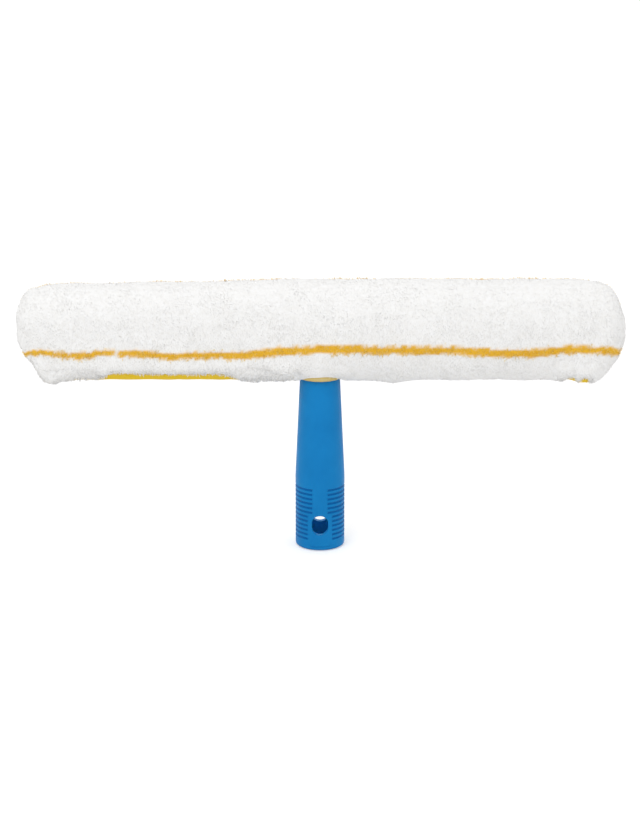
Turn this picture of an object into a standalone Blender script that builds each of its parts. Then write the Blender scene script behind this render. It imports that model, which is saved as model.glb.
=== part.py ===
"""A window washer: a plush sleeve on a plastic T-bar with a hollow handle.

Sizes are in metres. The handle stands along +Z, the sleeve lies along X and its
front faces -Y. The origin is the centre of the handle's lower end face.
"""

import math

import bmesh
import bpy

# Clearances shared by all the pieces
REST_GAP = 0.0003
CUT_OVERRUN = 0.006

# Handle, measured up from its lower end face
HANDLE_RADIUS = 0.0146
HANDLE_STRAIGHT_LENGTH = 0.043
HANDLE_VISIBLE_LENGTH = 0.1028
HANDLE_END_FILLET = 0.0015
NECK_RADIUS = 0.0118
HEAD_RADIUS = 0.0088

# Pole socket inside the handle: a drafted bore, a stop ledge and a cored neck
SOCKET_MOUTH_RADIUS = 0.0113
SOCKET_END_RADIUS = 0.0096
SOCKET_DEPTH = 0.078
CORE_LOWER_RADIUS = 0.0082
CORE_UPPER_RADIUS = 0.0064

# Hanging hole through both walls of the handle
HANGING_HOLE_WIDTH = 0.0097
HANGING_HOLE_HEIGHT = 0.0122
HANGING_HOLE_CENTRE_HEIGHT = 0.0156

# Grip grooves on both sides of the handle
GROOVE_COUNT = 12
GROOVE_LONG_COUNT = 6
GROOVE_PITCH = 0.00278
GROOVE_FIRST_HEIGHT = 0.0069
GROOVE_WIDTH = 0.0012
GROOVE_DEPTH = 0.0005
GROOVE_SHORT_STOP = 0.0071
GROOVE_LONG_STOP = 0.0044

# Crossbar: a moulded web with a rim and cross ribs
BAR_LENGTH = 0.326
BAR_HEIGHT = 0.040
BAR_DEPTH = 0.018
BAR_CORNER_RADIUS = 0.008
BAR_RIM_THICKNESS = 0.0022
BAR_WEB_THICKNESS = 0.0024
BAR_RIB_THICKNESS = 0.002
BAR_OUTER_POCKETS = 5
DRAIN_HOLE_RADIUS = 0.0045

# Saddle on top of the handle, let into the crossbar's lower edge
SADDLE_LENGTH = 0.070
SADDLE_THICKNESS = 0.005
SADDLE_CORNER_RADIUS = 0.004

# Pan head screws that hold the saddle to the crossbar
SCREW_SPACING = 0.050
SCREW_HEAD_RADIUS = 0.0035
SCREW_HEAD_HEIGHT = 0.0021
SCREW_HEAD_EDGE = 0.0009
SCREW_SHANK_RADIUS = 0.0015
SCREW_SHANK_LENGTH = 0.016
SCREW_TIP_LENGTH = 0.002
SCREW_RECESS_LENGTH = 0.0036
SCREW_RECESS_WIDTH = 0.0009
SCREW_RECESS_DEPTH = 0.0012
BOSS_WIDTH = 0.008

# Plush round the crossbar: pile and backing together
PLUSH_TOP_THICKNESS = 0.0087
PLUSH_UNDER_THICKNESS = 0.0094
PLUSH_SIDE_THICKNESS = 0.0112
PLUSH_END_THICKNESS = 0.0142
SLEEVE_ROUNDNESS_SHARE = 0.8

# The sleeve's form along X: place, top, underside and depth, each a share of its half size
SLEEVE_STATION_SHARES = (
    (-1.000, 0.45, 0.22, 0.42),
    (-0.988, 0.70, 0.46, 0.68),
    (-0.960, 0.82, 0.62, 0.82),
    (-0.932, 0.86, 0.74, 0.90),
    (-0.908, 0.87, 1.01, 0.94),
    (-0.885, 0.88, 1.08, 0.97),
    (-0.858, 0.90, 1.06, 0.99),
    (-0.838, 0.91, 1.00, 1.00),
    (-0.600, 0.94, 1.00, 1.00),
    (-0.300, 0.98, 1.00, 1.00),
    (0.000, 1.00, 1.00, 1.00),
    (0.220, 1.04, 1.00, 1.00),
    (0.500, 1.00, 1.00, 1.00),
    (0.720, 1.03, 0.99, 1.00),
    (0.820, 1.01, 1.01, 0.99),
    (0.850, 1.00, 1.08, 0.98),
    (0.880, 0.98, 1.08, 0.96),
    (0.915, 0.96, 0.98, 0.93),
    (0.955, 0.88, 0.76, 0.85),
    (0.985, 0.62, 0.60, 0.66),
    (1.000, 0.25, 0.25, 0.30),
)
SLEEVE_RING_POINTS = 28

# Neck opening in the sleeve's underside, edged with a tape ring
NECK_CLEARANCE = 0.0006
NECK_BINDING_THICKNESS = 0.0022
NECK_BINDING_HEIGHT = 0.0054
NECK_BINDING_RISE = 0.0014

# Closure under the left half: slit, flap and its tapes
SLIT_WIDTH = 0.006
FLAP_THICKNESS = 0.0012
FLAP_NECK_MARGIN = 0.0019
FLAP_END_INSET = 0.0290
HOOK_TAPE_THICKNESS = 0.0009
LOOP_TAPE_THICKNESS = 0.0009
TAPE_END_MARGIN = 0.002
SEAM_TAPE_THICKNESS = 0.001
SEAM_TAPE_SINK = 0.0003
LEFT_TAPE_INSET = 0.0145
LEFT_TAPE_WIDTH = 0.012
RIGHT_TAPE_INSET = 0.0205
RIGHT_TAPE_WIDTH = 0.018

# Angles round the underside, in degrees: 0 is straight down, and the back is positive
FLAP_ANGLES = (-45.0, 33.0)
CLOSURE_TAPE_ANGLES = (-43.0, -13.0)
HINGE_BINDING_ANGLES = (14.0, 38.0)
SEAM_TAPE_ANGLES = (-13.0, 13.0)
END_TAPE_ANGLES = (-40.0, 34.0)
RECESS_MARGIN_ANGLE = 1.5

# Facets of the round pieces
HANDLE_STEPS = 32
FILLET_STEPS = 3
SMALL_ROUND_STEPS = 16
DRAIN_HOLE_STEPS = 12
CORNER_STEPS = 4
CORNER_ROUND_SHARE = 0.5
STRIP_STEPS_PER_TURN = 56

# Heights and half sizes worked out from the sizes above
SLEEVE_BOTTOM = HANDLE_VISIBLE_LENGTH
BAR_BOTTOM = SLEEVE_BOTTOM + PLUSH_UNDER_THICKNESS + REST_GAP
BAR_TOP = BAR_BOTTOM + BAR_HEIGHT
BAR_HALF_LENGTH = BAR_LENGTH / 2
BAR_HALF_DEPTH = BAR_DEPTH / 2
SADDLE_BOTTOM = BAR_BOTTOM
SADDLE_TOP = SADDLE_BOTTOM + SADDLE_THICKNESS
SADDLE_HALF_LENGTH = SADDLE_LENGTH / 2
NOTCH_TOP = SADDLE_TOP + REST_GAP
NOTCH_HALF_LENGTH = SADDLE_HALF_LENGTH + REST_GAP
SLEEVE_TOP = BAR_TOP + REST_GAP + PLUSH_TOP_THICKNESS
SLEEVE_HALF_HEIGHT = (SLEEVE_TOP - SLEEVE_BOTTOM) / 2
SLEEVE_CENTRE_HEIGHT = SLEEVE_BOTTOM + SLEEVE_HALF_HEIGHT
SLEEVE_HALF_DEPTH = BAR_HALF_DEPTH + REST_GAP + PLUSH_SIDE_THICKNESS
SLEEVE_HALF_LENGTH = BAR_HALF_LENGTH + REST_GAP + PLUSH_END_THICKNESS
CAVITY_BOTTOM = BAR_BOTTOM - REST_GAP
NECK_BINDING_INNER_RADIUS = NECK_RADIUS + NECK_CLEARANCE
NECK_BINDING_OUTER_RADIUS = NECK_BINDING_INNER_RADIUS + NECK_BINDING_THICKNESS
NECK_OPENING_RADIUS = NECK_BINDING_OUTER_RADIUS + REST_GAP
FLAP_NECK_END = -(NECK_BINDING_OUTER_RADIUS + FLAP_NECK_MARGIN)
FLAP_OUTER_END = -(SLEEVE_HALF_LENGTH - FLAP_END_INSET)
HOOK_TAPE_INSET = FLAP_THICKNESS + REST_GAP
LOOP_TAPE_INSET = HOOK_TAPE_INSET + HOOK_TAPE_THICKNESS + REST_GAP
FLAP_RECESS_INSET = LOOP_TAPE_INSET + LOOP_TAPE_THICKNESS + REST_GAP
HINGE_BINDING_THICKNESS = FLAP_RECESS_INSET - REST_GAP - HOOK_TAPE_INSET
SCREW_SEAT_DEPTH = SCREW_HEAD_HEIGHT + 2 * REST_GAP

PLASTIC_BLUE = (30, 124, 190)
PILE_WHITE = (242, 241, 239)
TAPE_YELLOW = (218, 186, 65)
HOOK_YELLOW = (206, 174, 62)
STEEL_GREY = (176, 178, 180)


def start_collections():
    """Empty the scene and make one collection for the pieces and one for the cutters."""
    for old in list(bpy.data.objects):
        bpy.data.objects.remove(old, do_unlink=True)
    pieces = bpy.data.collections.new("window_washer")
    cutters = bpy.data.collections.new("window_washer_cutters")
    for group in (pieces, cutters):
        bpy.context.scene.collection.children.link(group)
    return pieces, cutters


def linear_colour(rgb):
    """An 8-bit screen colour as the linear colour of a shader."""
    shares = [channel / 255 for channel in rgb]
    linear = [share / 12.92 if share <= 0.04045 else ((share + 0.055) / 1.055) ** 2.4 for share in shares]
    return (*linear, 1.0)


def surface(name, rgb, roughness, metallic=0.0):
    """A Principled material of one colour."""
    material = bpy.data.materials.new(name)
    material.use_nodes = True
    shader = material.node_tree.nodes["Principled BSDF"]
    shader.inputs["Base Color"].default_value = linear_colour(rgb)
    shader.inputs["Roughness"].default_value = roughness
    shader.inputs["Metallic"].default_value = metallic
    return material


def add_object(name, mesh, collection, material=None):
    """Link a mesh as a named object."""
    made = bpy.data.objects.new(name, mesh)
    collection.objects.link(made)
    if material is not None:
        mesh.materials.append(material)
    return made


def add_cutter(name, mesh, cutters):
    """Link a mesh as a cutter, drawn as wire and left out of renders."""
    cutter = add_object(name, mesh, cutters)
    cutter.display_type = "WIRE"
    cutter.hide_render = True
    return cutter


def finish_mesh(name, bm):
    """Turn a bmesh into a mesh whose faces point outwards."""
    bm.normal_update()
    bmesh.ops.recalc_face_normals(bm, faces=bm.faces)
    mesh = bpy.data.meshes.new(name)
    bm.to_mesh(mesh)
    bm.free()
    return mesh


def add_box(bm, low, high):
    """Add a box between two corners."""
    cube = bmesh.ops.create_cube(bm, size=1.0)
    for vert in cube["verts"]:
        for axis in range(3):
            middle = (low[axis] + high[axis]) / 2
            vert.co[axis] = middle + vert.co[axis] * (high[axis] - low[axis])


def box_mesh(name, low, high):
    """A mesh of one box."""
    bm = bmesh.new()
    add_box(bm, low, high)
    return finish_mesh(name, bm)


def rounded_box_mesh(name, low, high, radius, axis):
    """A box whose four edges along one axis are rounded."""
    bm = bmesh.new()
    add_box(bm, low, high)
    sides = [index for index in range(3) if index != axis]
    edges = [
        edge
        for edge in bm.edges
        if all(edge.verts[0].co[side] == edge.verts[1].co[side] for side in sides)
    ]
    bmesh.ops.bevel(
        bm, geom=edges, offset=radius, segments=CORNER_STEPS, profile=CORNER_ROUND_SHARE, affect="EDGES"
    )
    return finish_mesh(name, bm)


def add_cylinder(bm, centre, radius, bottom, top, steps):
    """Add an upright cylinder at a place in X and Y."""
    made = bmesh.ops.create_cone(
        bm, cap_ends=True, segments=steps, radius1=radius, radius2=radius, depth=top - bottom
    )
    for vert in made["verts"]:
        vert.co.x += centre[0]
        vert.co.y += centre[1]
        vert.co.z += (bottom + top) / 2


def add_loft(bm, rings):
    """Skin a row of like closed rings and cap the first and the last."""
    loops = [[bm.verts.new(point) for point in ring] for ring in rings]
    count = len(rings[0])
    for near, far in zip(loops, loops[1:]):
        for index in range(count):
            after = (index + 1) % count
            bm.faces.new((near[index], near[after], far[after], far[index]))
    bm.faces.new(reversed(loops[0]))
    bm.faces.new(loops[-1])


def profile_mesh(name, points):
    """A closed outline in the XZ plane, as edges for a Screw modifier."""
    bm = bmesh.new()
    verts = [bm.verts.new((radius, 0.0, height)) for radius, height in points]
    for near, far in zip(verts, verts[1:] + verts[:1]):
        bm.edges.new((near, far))
    mesh = bpy.data.meshes.new(name)
    bm.to_mesh(mesh)
    bm.free()
    return mesh


def turn(target, steps):
    """Revolve a profile about Z."""
    screw = target.modifiers.new("turned", "SCREW")
    screw.steps = steps
    screw.render_steps = steps
    screw.use_merge_vertices = True
    screw.merge_threshold = 0.00001
    screw.use_smooth_shade = True


def combine(target, other, operation):
    """Cut or join another object with a Boolean modifier."""
    boolean = target.modifiers.new(other.name, "BOOLEAN")
    boolean.operation = operation
    boolean.solver = "EXACT"
    boolean.object = other


def shade(mesh):
    """Smooth shading with sharp edges kept."""
    mesh.shade_smooth()
    mesh.set_sharp_from_angle(angle=math.radians(35))


def fillet_points(centre, radius, start, end, steps):
    """Points on an arc about a centre in the XZ plane, between two angles in degrees."""
    angles = [math.radians(start + (end - start) * step / steps) for step in range(steps + 1)]
    return [(centre[0] + radius * math.cos(angle), centre[1] + radius * math.sin(angle)) for angle in angles]


def handle_profile():
    """The wall of the handle: its outside from the top down, then the bore from the mouth up."""
    fillet_centre = (HANDLE_RADIUS - HANDLE_END_FILLET, HANDLE_END_FILLET)
    top = SADDLE_BOTTOM + SADDLE_THICKNESS / 2
    outside = [
        (HEAD_RADIUS, top),
        (HEAD_RADIUS, CAVITY_BOTTOM),
        (NECK_RADIUS, HANDLE_VISIBLE_LENGTH),
        (HANDLE_RADIUS, HANDLE_STRAIGHT_LENGTH),
    ]
    inside = [
        (SOCKET_MOUTH_RADIUS, 0.0),
        (SOCKET_END_RADIUS, SOCKET_DEPTH),
        (CORE_LOWER_RADIUS, SOCKET_DEPTH),
        (CORE_UPPER_RADIUS, top),
    ]
    return outside + fillet_points(fillet_centre, HANDLE_END_FILLET, 0, -90, FILLET_STEPS) + inside


def groove_rings(height, stop, side):
    """The rings of one groove cutter, which runs from the front round one side to the back."""
    first = math.degrees(math.asin(stop / HANDLE_RADIUS))
    step = 360 / HANDLE_STEPS
    between = [step * index for index in range(HANDLE_STEPS // 2 + 1) if first < step * index < 180 - first]
    inner = HANDLE_RADIUS - GROOVE_DEPTH
    outer = HANDLE_RADIUS + CUT_OVERRUN
    low = height - GROOVE_WIDTH / 2
    high = height + GROOVE_WIDTH / 2
    rings = []
    for degrees in (first, *between, 180 - first):
        along = side * math.sin(math.radians(degrees))
        back = -math.cos(math.radians(degrees))
        corners = ((inner, low), (outer, low), (outer, high), (inner, high))
        rings.append([(radius * along, radius * back, z) for radius, z in corners])
    return rings


def groove_mesh():
    """All the grip grooves, as one cutter."""
    bm = bmesh.new()
    for index in range(GROOVE_COUNT):
        upper = index >= GROOVE_COUNT - GROOVE_LONG_COUNT
        stop = GROOVE_LONG_STOP if upper else GROOVE_SHORT_STOP
        for side in (-1, 1):
            add_loft(bm, groove_rings(GROOVE_FIRST_HEIGHT + index * GROOVE_PITCH, stop, side))
    return finish_mesh("grip_grooves", bm)


def hanging_hole_mesh():
    """A slot with round ends, through the handle from front to back."""
    bm = bmesh.new()
    radius = HANGING_HOLE_WIDTH / 2
    reach = HANDLE_RADIUS + CUT_OVERRUN
    add_cylinder(bm, (0.0, 0.0), radius, -reach, reach, SMALL_ROUND_STEPS)
    stretch = (HANGING_HOLE_HEIGHT - HANGING_HOLE_WIDTH) / 2
    for vert in bm.verts:
        across, up, along = vert.co
        shift = math.copysign(stretch, up) if abs(up) > radius / HANDLE_STEPS else 0.0
        vert.co = (across, along, HANGING_HOLE_CENTRE_HEIGHT + up + shift)
    return finish_mesh("hanging_hole", bm)


def screw_places():
    """The X places of the two saddle screws, by name."""
    return (("left", -SCREW_SPACING / 2), ("right", SCREW_SPACING / 2))


def screw_hole_mesh():
    """The screws' seats and clearance holes through the saddle and up into the bosses."""
    bm = bmesh.new()
    seat_top = SADDLE_BOTTOM + SCREW_SEAT_DEPTH
    hole_top = seat_top + SCREW_SHANK_LENGTH + REST_GAP
    for _, place in screw_places():
        seat_radius = SCREW_HEAD_RADIUS + REST_GAP
        hole_radius = SCREW_SHANK_RADIUS + REST_GAP
        seat_bottom = SADDLE_BOTTOM - CUT_OVERRUN
        rings = []
        for radius, height in (
            (seat_radius, seat_bottom),
            (seat_radius, seat_top),
            (hole_radius, seat_top),
            (hole_radius, hole_top),
        ):
            angles = [math.tau * step / SMALL_ROUND_STEPS for step in range(SMALL_ROUND_STEPS)]
            rings.append([(place + radius * math.cos(a), radius * math.sin(a), height) for a in angles])
        add_loft(bm, rings)
    return finish_mesh("screw_holes", bm)


def build_handle(pieces, cutters, plastic, screw_holes):
    """The hollow handle with its saddle, grooves and hanging hole."""
    handle = add_object("handle", profile_mesh("handle", handle_profile()), pieces, plastic)
    turn(handle, HANDLE_STEPS)
    saddle = add_cutter(
        "saddle_block",
        rounded_box_mesh(
            "saddle_block",
            (-SADDLE_HALF_LENGTH, -BAR_HALF_DEPTH, SADDLE_BOTTOM),
            (SADDLE_HALF_LENGTH, BAR_HALF_DEPTH, SADDLE_TOP),
            SADDLE_CORNER_RADIUS,
            2,
        ),
        cutters,
    )
    hole = add_cutter("hanging_hole", hanging_hole_mesh(), cutters)
    grooves = add_cutter("grip_grooves", groove_mesh(), cutters)
    combine(handle, saddle, "UNION")
    combine(handle, screw_holes, "DIFFERENCE")
    combine(handle, hole, "DIFFERENCE")
    combine(handle, grooves, "DIFFERENCE")


def pocket_spans():
    """The start and end in X of each pocket on the right half, and whether it is above the notch."""
    boss_start = SCREW_SPACING / 2 - BOSS_WIDTH / 2
    boss_end = SCREW_SPACING / 2 + BOSS_WIDTH / 2
    outer_start = NOTCH_HALF_LENGTH + BAR_RIM_THICKNESS
    outer_end = BAR_HALF_LENGTH - BAR_RIM_THICKNESS
    pitch = (outer_end - outer_start + BAR_RIB_THICKNESS) / BAR_OUTER_POCKETS
    spans = [
        (BAR_RIB_THICKNESS / 2, boss_start, True),
        (boss_end, NOTCH_HALF_LENGTH, True),
    ]
    for index in range(BAR_OUTER_POCKETS):
        start = outer_start + index * pitch
        spans.append((start, start + pitch - BAR_RIB_THICKNESS, False))
    return spans


def pocket_mesh():
    """The water pockets between the ribs on both faces of the web."""
    bm = bmesh.new()
    top = BAR_TOP - BAR_RIM_THICKNESS
    web = BAR_WEB_THICKNESS / 2
    face = BAR_HALF_DEPTH + CUT_OVERRUN
    for start, end, over_notch in pocket_spans():
        floor = NOTCH_TOP if over_notch else BAR_BOTTOM
        low = floor + BAR_RIM_THICKNESS
        for side in (-1, 1):
            left, right = sorted((side * start, side * end))
            add_box(bm, (left, web, low), (right, face, top))
            add_box(bm, (left, -face, low), (right, -web, top))
    return finish_mesh("water_pockets", bm)


def drain_mesh():
    """Round holes through the web, one in each outer pocket."""
    bm = bmesh.new()
    centre_height = (BAR_BOTTOM + BAR_TOP) / 2
    for start, end, over_notch in pocket_spans():
        if over_notch:
            continue
        for side in (-1, 1):
            centre = (side * (start + end) / 2, 0.0)
            add_cylinder(bm, centre, DRAIN_HOLE_RADIUS, -BAR_HALF_DEPTH, BAR_HALF_DEPTH, DRAIN_HOLE_STEPS)
    for vert in bm.verts:
        across, up, along = vert.co
        vert.co = (across, along, centre_height + up)
    return finish_mesh("drain_holes", bm)


def bar_body_mesh(name, grow):
    """The crossbar's outline with round corners, grown on every side."""
    low = (-BAR_HALF_LENGTH - grow, -BAR_HALF_DEPTH - grow, BAR_BOTTOM - grow)
    high = (BAR_HALF_LENGTH + grow, BAR_HALF_DEPTH + grow, BAR_TOP + grow)
    return rounded_box_mesh(name, low, high, BAR_CORNER_RADIUS + grow, 1)


def build_crossbar(pieces, cutters, plastic, screw_holes):
    """The ribbed crossbar with a notch for the saddle."""
    crossbar = add_object("crossbar", bar_body_mesh("crossbar", 0.0), pieces, plastic)
    face = BAR_HALF_DEPTH + CUT_OVERRUN
    notch = add_cutter(
        "saddle_notch",
        box_mesh(
            "saddle_notch",
            (-NOTCH_HALF_LENGTH, -face, BAR_BOTTOM - CUT_OVERRUN),
            (NOTCH_HALF_LENGTH, face, NOTCH_TOP),
        ),
        cutters,
    )
    combine(crossbar, notch, "DIFFERENCE")
    combine(crossbar, add_cutter("water_pockets", pocket_mesh(), cutters), "DIFFERENCE")
    combine(crossbar, add_cutter("drain_holes", drain_mesh(), cutters), "DIFFERENCE")
    combine(crossbar, screw_holes, "DIFFERENCE")


def screw_profile():
    """Half the outline of a pan head screw, from its tip down to the middle of its head."""
    head_bottom = -SCREW_HEAD_HEIGHT
    return [
        (0.0, SCREW_SHANK_LENGTH),
        (SCREW_SHANK_RADIUS, SCREW_SHANK_LENGTH - SCREW_TIP_LENGTH),
        (SCREW_SHANK_RADIUS, 0.0),
        (SCREW_HEAD_RADIUS, 0.0),
        (SCREW_HEAD_RADIUS, head_bottom + SCREW_HEAD_EDGE),
        (SCREW_HEAD_RADIUS - SCREW_HEAD_EDGE, head_bottom),
        (0.0, head_bottom),
    ]


def screw_mesh(cutters, steel):
    """One screw with a cross recess, its head's seat at the height of its origin."""
    bm = bmesh.new()
    verts = [bm.verts.new((radius, 0.0, height)) for radius, height in screw_profile()]
    for near, far in zip(verts, verts[1:]):
        bm.edges.new((near, far))
    outline = bpy.data.meshes.new("screw_outline")
    bm.to_mesh(outline)
    bm.free()
    pattern = add_object("screw_pattern", outline, cutters, steel)
    turn(pattern, SMALL_ROUND_STEPS)
    half_length = SCREW_RECESS_LENGTH / 2
    half_width = SCREW_RECESS_WIDTH / 2
    low = -SCREW_HEAD_HEIGHT - CUT_OVERRUN
    high = -SCREW_HEAD_HEIGHT + SCREW_RECESS_DEPTH
    slots = []
    for name, x, y in (("recess_x", half_length, half_width), ("recess_y", half_width, half_length)):
        slot = add_cutter(name, box_mesh(name, (-x, -y, low), (x, y, high)), cutters)
        combine(pattern, slot, "DIFFERENCE")
        slots.append(slot)
    graph = bpy.context.evaluated_depsgraph_get()
    mesh = bpy.data.meshes.new_from_object(pattern.evaluated_get(graph))
    mesh.name = "saddle_screw"
    shade(mesh)
    for used in (pattern, *slots):
        bpy.data.objects.remove(used, do_unlink=True)
    return mesh


def build_screws(pieces, cutters, steel):
    """Two equal screws, put in from below."""
    mesh = screw_mesh(cutters, steel)
    seat = SADDLE_BOTTOM + SCREW_SEAT_DEPTH - REST_GAP
    for name, place in screw_places():
        screw = add_object("saddle_screw_" + name, mesh, pieces)
        screw.location = (place, 0.0, seat)


def section_shares(x):
    """The sleeve's top, underside and depth shares at a place along X."""
    share = x / SLEEVE_HALF_LENGTH
    for near, far in zip(SLEEVE_STATION_SHARES, SLEEVE_STATION_SHARES[1:]):
        if share <= far[0]:
            part = (share - near[0]) / (far[0] - near[0])
            return [low + (high - low) * part for low, high in zip(near[1:], far[1:])]
    return SLEEVE_STATION_SHARES[-1][1:]


def section_point(x, degrees, inset):
    """A point of the sleeve's outline at X, an angle round from straight down, pulled in by inset."""
    top, under, depth = section_shares(x)
    power = SLEEVE_ROUNDNESS_SHARE
    back = math.sin(math.radians(degrees))
    down = math.cos(math.radians(degrees))
    half_depth = depth * SLEEVE_HALF_DEPTH - inset
    half_height = (under if down > 0 else top) * SLEEVE_HALF_HEIGHT - inset
    y = half_depth * math.copysign(abs(back) ** power, back)
    z = SLEEVE_CENTRE_HEIGHT - half_height * math.copysign(abs(down) ** power, down)
    return (x, y, z)


def stations_between(start, end):
    """The two ends of a span and the sleeve's own stations inside it."""
    own = [row[0] * SLEEVE_HALF_LENGTH for row in SLEEVE_STATION_SHARES]
    return [start] + [x for x in own if start < x < end] + [end]


def strip_mesh(name, span, angles, inset, thickness):
    """A strip that follows the sleeve's underside, inset from its surface and of even thickness."""
    bm = bmesh.new()
    count = max(1, round((angles[1] - angles[0]) / 360 * STRIP_STEPS_PER_TURN))
    round_angles = [angles[0] + (angles[1] - angles[0]) * step / count for step in range(count + 1)]
    rings = []
    for x in stations_between(*span):
        outer = [section_point(x, angle, inset) for angle in round_angles]
        inner = [section_point(x, angle, inset + thickness) for angle in reversed(round_angles)]
        rings.append(outer + inner)
    add_loft(bm, rings)
    return finish_mesh(name, bm)


def recess_cutter(name, span, angles, depth, cutters):
    """A cutter that clears a strip's space from outside the sleeve down to a depth."""
    wide_span = (span[0] - REST_GAP, span[1] + REST_GAP)
    wide_angles = (angles[0] - RECESS_MARGIN_ANGLE, angles[1] + RECESS_MARGIN_ANGLE)
    mesh = strip_mesh(name, wide_span, wide_angles, -CUT_OVERRUN, CUT_OVERRUN + depth)
    return add_cutter(name, mesh, cutters)


def flap_span():
    """Where the flap starts and ends along X."""
    return (FLAP_OUTER_END, FLAP_NECK_END)


def tape_span():
    """Where the hook and loop tapes start and end, a margin inside the flap."""
    return (FLAP_OUTER_END + TAPE_END_MARGIN, FLAP_NECK_END - TAPE_END_MARGIN)


def left_tape_span():
    """The end tape beyond the slit's closed end."""
    start = -SLEEVE_HALF_LENGTH + LEFT_TAPE_INSET
    return (start, start + LEFT_TAPE_WIDTH)


def right_tape_span():
    """The end tape over the underside seam's outer end."""
    end = SLEEVE_HALF_LENGTH - RIGHT_TAPE_INSET
    return (end - RIGHT_TAPE_WIDTH, end)


def seam_tape_span():
    """The tape along the right half's underside seam, from the neck to the end tape."""
    return (-FLAP_NECK_END, right_tape_span()[0] - TAPE_END_MARGIN)


def slit_mesh(name, grow):
    """The slit from the neck opening to the flap's outer end, through the sleeve's underside."""
    half = SLIT_WIDTH / 2 + grow
    low = (FLAP_OUTER_END + TAPE_END_MARGIN, -half, SLEEVE_BOTTOM - CUT_OVERRUN)
    high = (0.0, half, CAVITY_BOTTOM + REST_GAP)
    return box_mesh(name, low, high)


def neck_opening_mesh():
    """The round opening for the neck, through the sleeve's underside."""
    bm = bmesh.new()
    bottom = SLEEVE_BOTTOM - CUT_OVERRUN
    add_cylinder(bm, (0.0, 0.0), NECK_OPENING_RADIUS, bottom, CAVITY_BOTTOM + REST_GAP, HANDLE_STEPS)
    return finish_mesh("neck_opening", bm)


def build_sleeve(pieces, cutters, plush):
    """The plush sleeve: a soft bolster round the crossbar, open under its left half and at the neck."""
    bm = bmesh.new()
    angles = [360 * (step + 0.5) / SLEEVE_RING_POINTS for step in range(SLEEVE_RING_POINTS)]
    spans = [row[0] * SLEEVE_HALF_LENGTH for row in SLEEVE_STATION_SHARES]
    add_loft(bm, [[section_point(x, angle, 0.0) for angle in angles] for x in spans])
    mesh = finish_mesh("plush_sleeve", bm)
    shade(mesh)
    sleeve = add_object("plush_sleeve", mesh, pieces, plush)
    tape_depth = SEAM_TAPE_SINK + SEAM_TAPE_THICKNESS + REST_GAP
    recess_angles = (FLAP_ANGLES[0], HINGE_BINDING_ANGLES[1])
    combine(sleeve, add_cutter("bar_cavity", bar_body_mesh("bar_cavity", REST_GAP), cutters), "DIFFERENCE")
    combine(sleeve, add_cutter("neck_opening", neck_opening_mesh(), cutters), "DIFFERENCE")
    combine(sleeve, add_cutter("slit", slit_mesh("slit", 0.0), cutters), "DIFFERENCE")
    for cutter in (
        recess_cutter("flap_recess", flap_span(), recess_angles, FLAP_RECESS_INSET, cutters),
        recess_cutter("seam_recess", seam_tape_span(), SEAM_TAPE_ANGLES, tape_depth, cutters),
        recess_cutter("left_recess", left_tape_span(), END_TAPE_ANGLES, tape_depth, cutters),
        recess_cutter("right_recess", right_tape_span(), END_TAPE_ANGLES, tape_depth, cutters),
    ):
        combine(sleeve, cutter, "DIFFERENCE")


def build_neck_binding(pieces, cutters, tape):
    """A tape ring sewn round the neck opening, open where the slit meets it."""
    bottom = SLEEVE_BOTTOM + NECK_BINDING_RISE
    top = bottom + NECK_BINDING_HEIGHT
    outline = [
        (NECK_BINDING_OUTER_RADIUS, top),
        (NECK_BINDING_OUTER_RADIUS, bottom),
        (NECK_BINDING_INNER_RADIUS, bottom),
        (NECK_BINDING_INNER_RADIUS, top),
    ]
    binding = add_object("neck_binding", profile_mesh("neck_binding", outline), pieces, tape)
    turn(binding, HANDLE_STEPS)
    combine(binding, add_cutter("binding_gap", slit_mesh("binding_gap", REST_GAP), cutters), "DIFFERENCE")


def build_fixed_tapes(pieces, tape, loop):
    """The tapes sewn to the sleeve's underside."""
    depth = SEAM_TAPE_SINK
    thickness = SEAM_TAPE_THICKNESS
    strips = (
        ("loop_tape", tape_span(), CLOSURE_TAPE_ANGLES, LOOP_TAPE_INSET, LOOP_TAPE_THICKNESS, loop),
        ("hinge_binding", flap_span(), HINGE_BINDING_ANGLES, HOOK_TAPE_INSET, HINGE_BINDING_THICKNESS, tape),
        ("seam_tape", seam_tape_span(), SEAM_TAPE_ANGLES, depth, thickness, tape),
        ("left_end_tape", left_tape_span(), END_TAPE_ANGLES, depth, thickness, tape),
        ("right_end_tape", right_tape_span(), END_TAPE_ANGLES, depth, thickness, tape),
    )
    for name, span, angles, inset, thick, material in strips:
        add_object(name, strip_mesh(name, span, angles, inset, thick), pieces, material)


def build_flap(pieces, tape, hook):
    """The closure flap and its hook tape, hung on an empty at the sewn edge they turn about."""
    _, hinge_y, hinge_z = section_point(FLAP_NECK_END, FLAP_ANGLES[1], FLAP_THICKNESS / 2)
    hinge = bpy.data.objects.new("flap_hinge", None)
    hinge.location = (0.0, hinge_y, hinge_z)
    hinge.empty_display_size = SLIT_WIDTH
    pieces.objects.link(hinge)
    strips = (
        ("closure_flap", flap_span(), FLAP_ANGLES, 0.0, FLAP_THICKNESS, tape),
        ("hook_tape", tape_span(), CLOSURE_TAPE_ANGLES, HOOK_TAPE_INSET, HOOK_TAPE_THICKNESS, hook),
    )
    for name, span, angles, inset, thick, material in strips:
        mesh = strip_mesh(name, span, angles, inset, thick)
        for vert in mesh.vertices:
            vert.co.y -= hinge_y
            vert.co.z -= hinge_z
        strip = add_object(name, mesh, pieces, material)
        strip.parent = hinge


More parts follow.
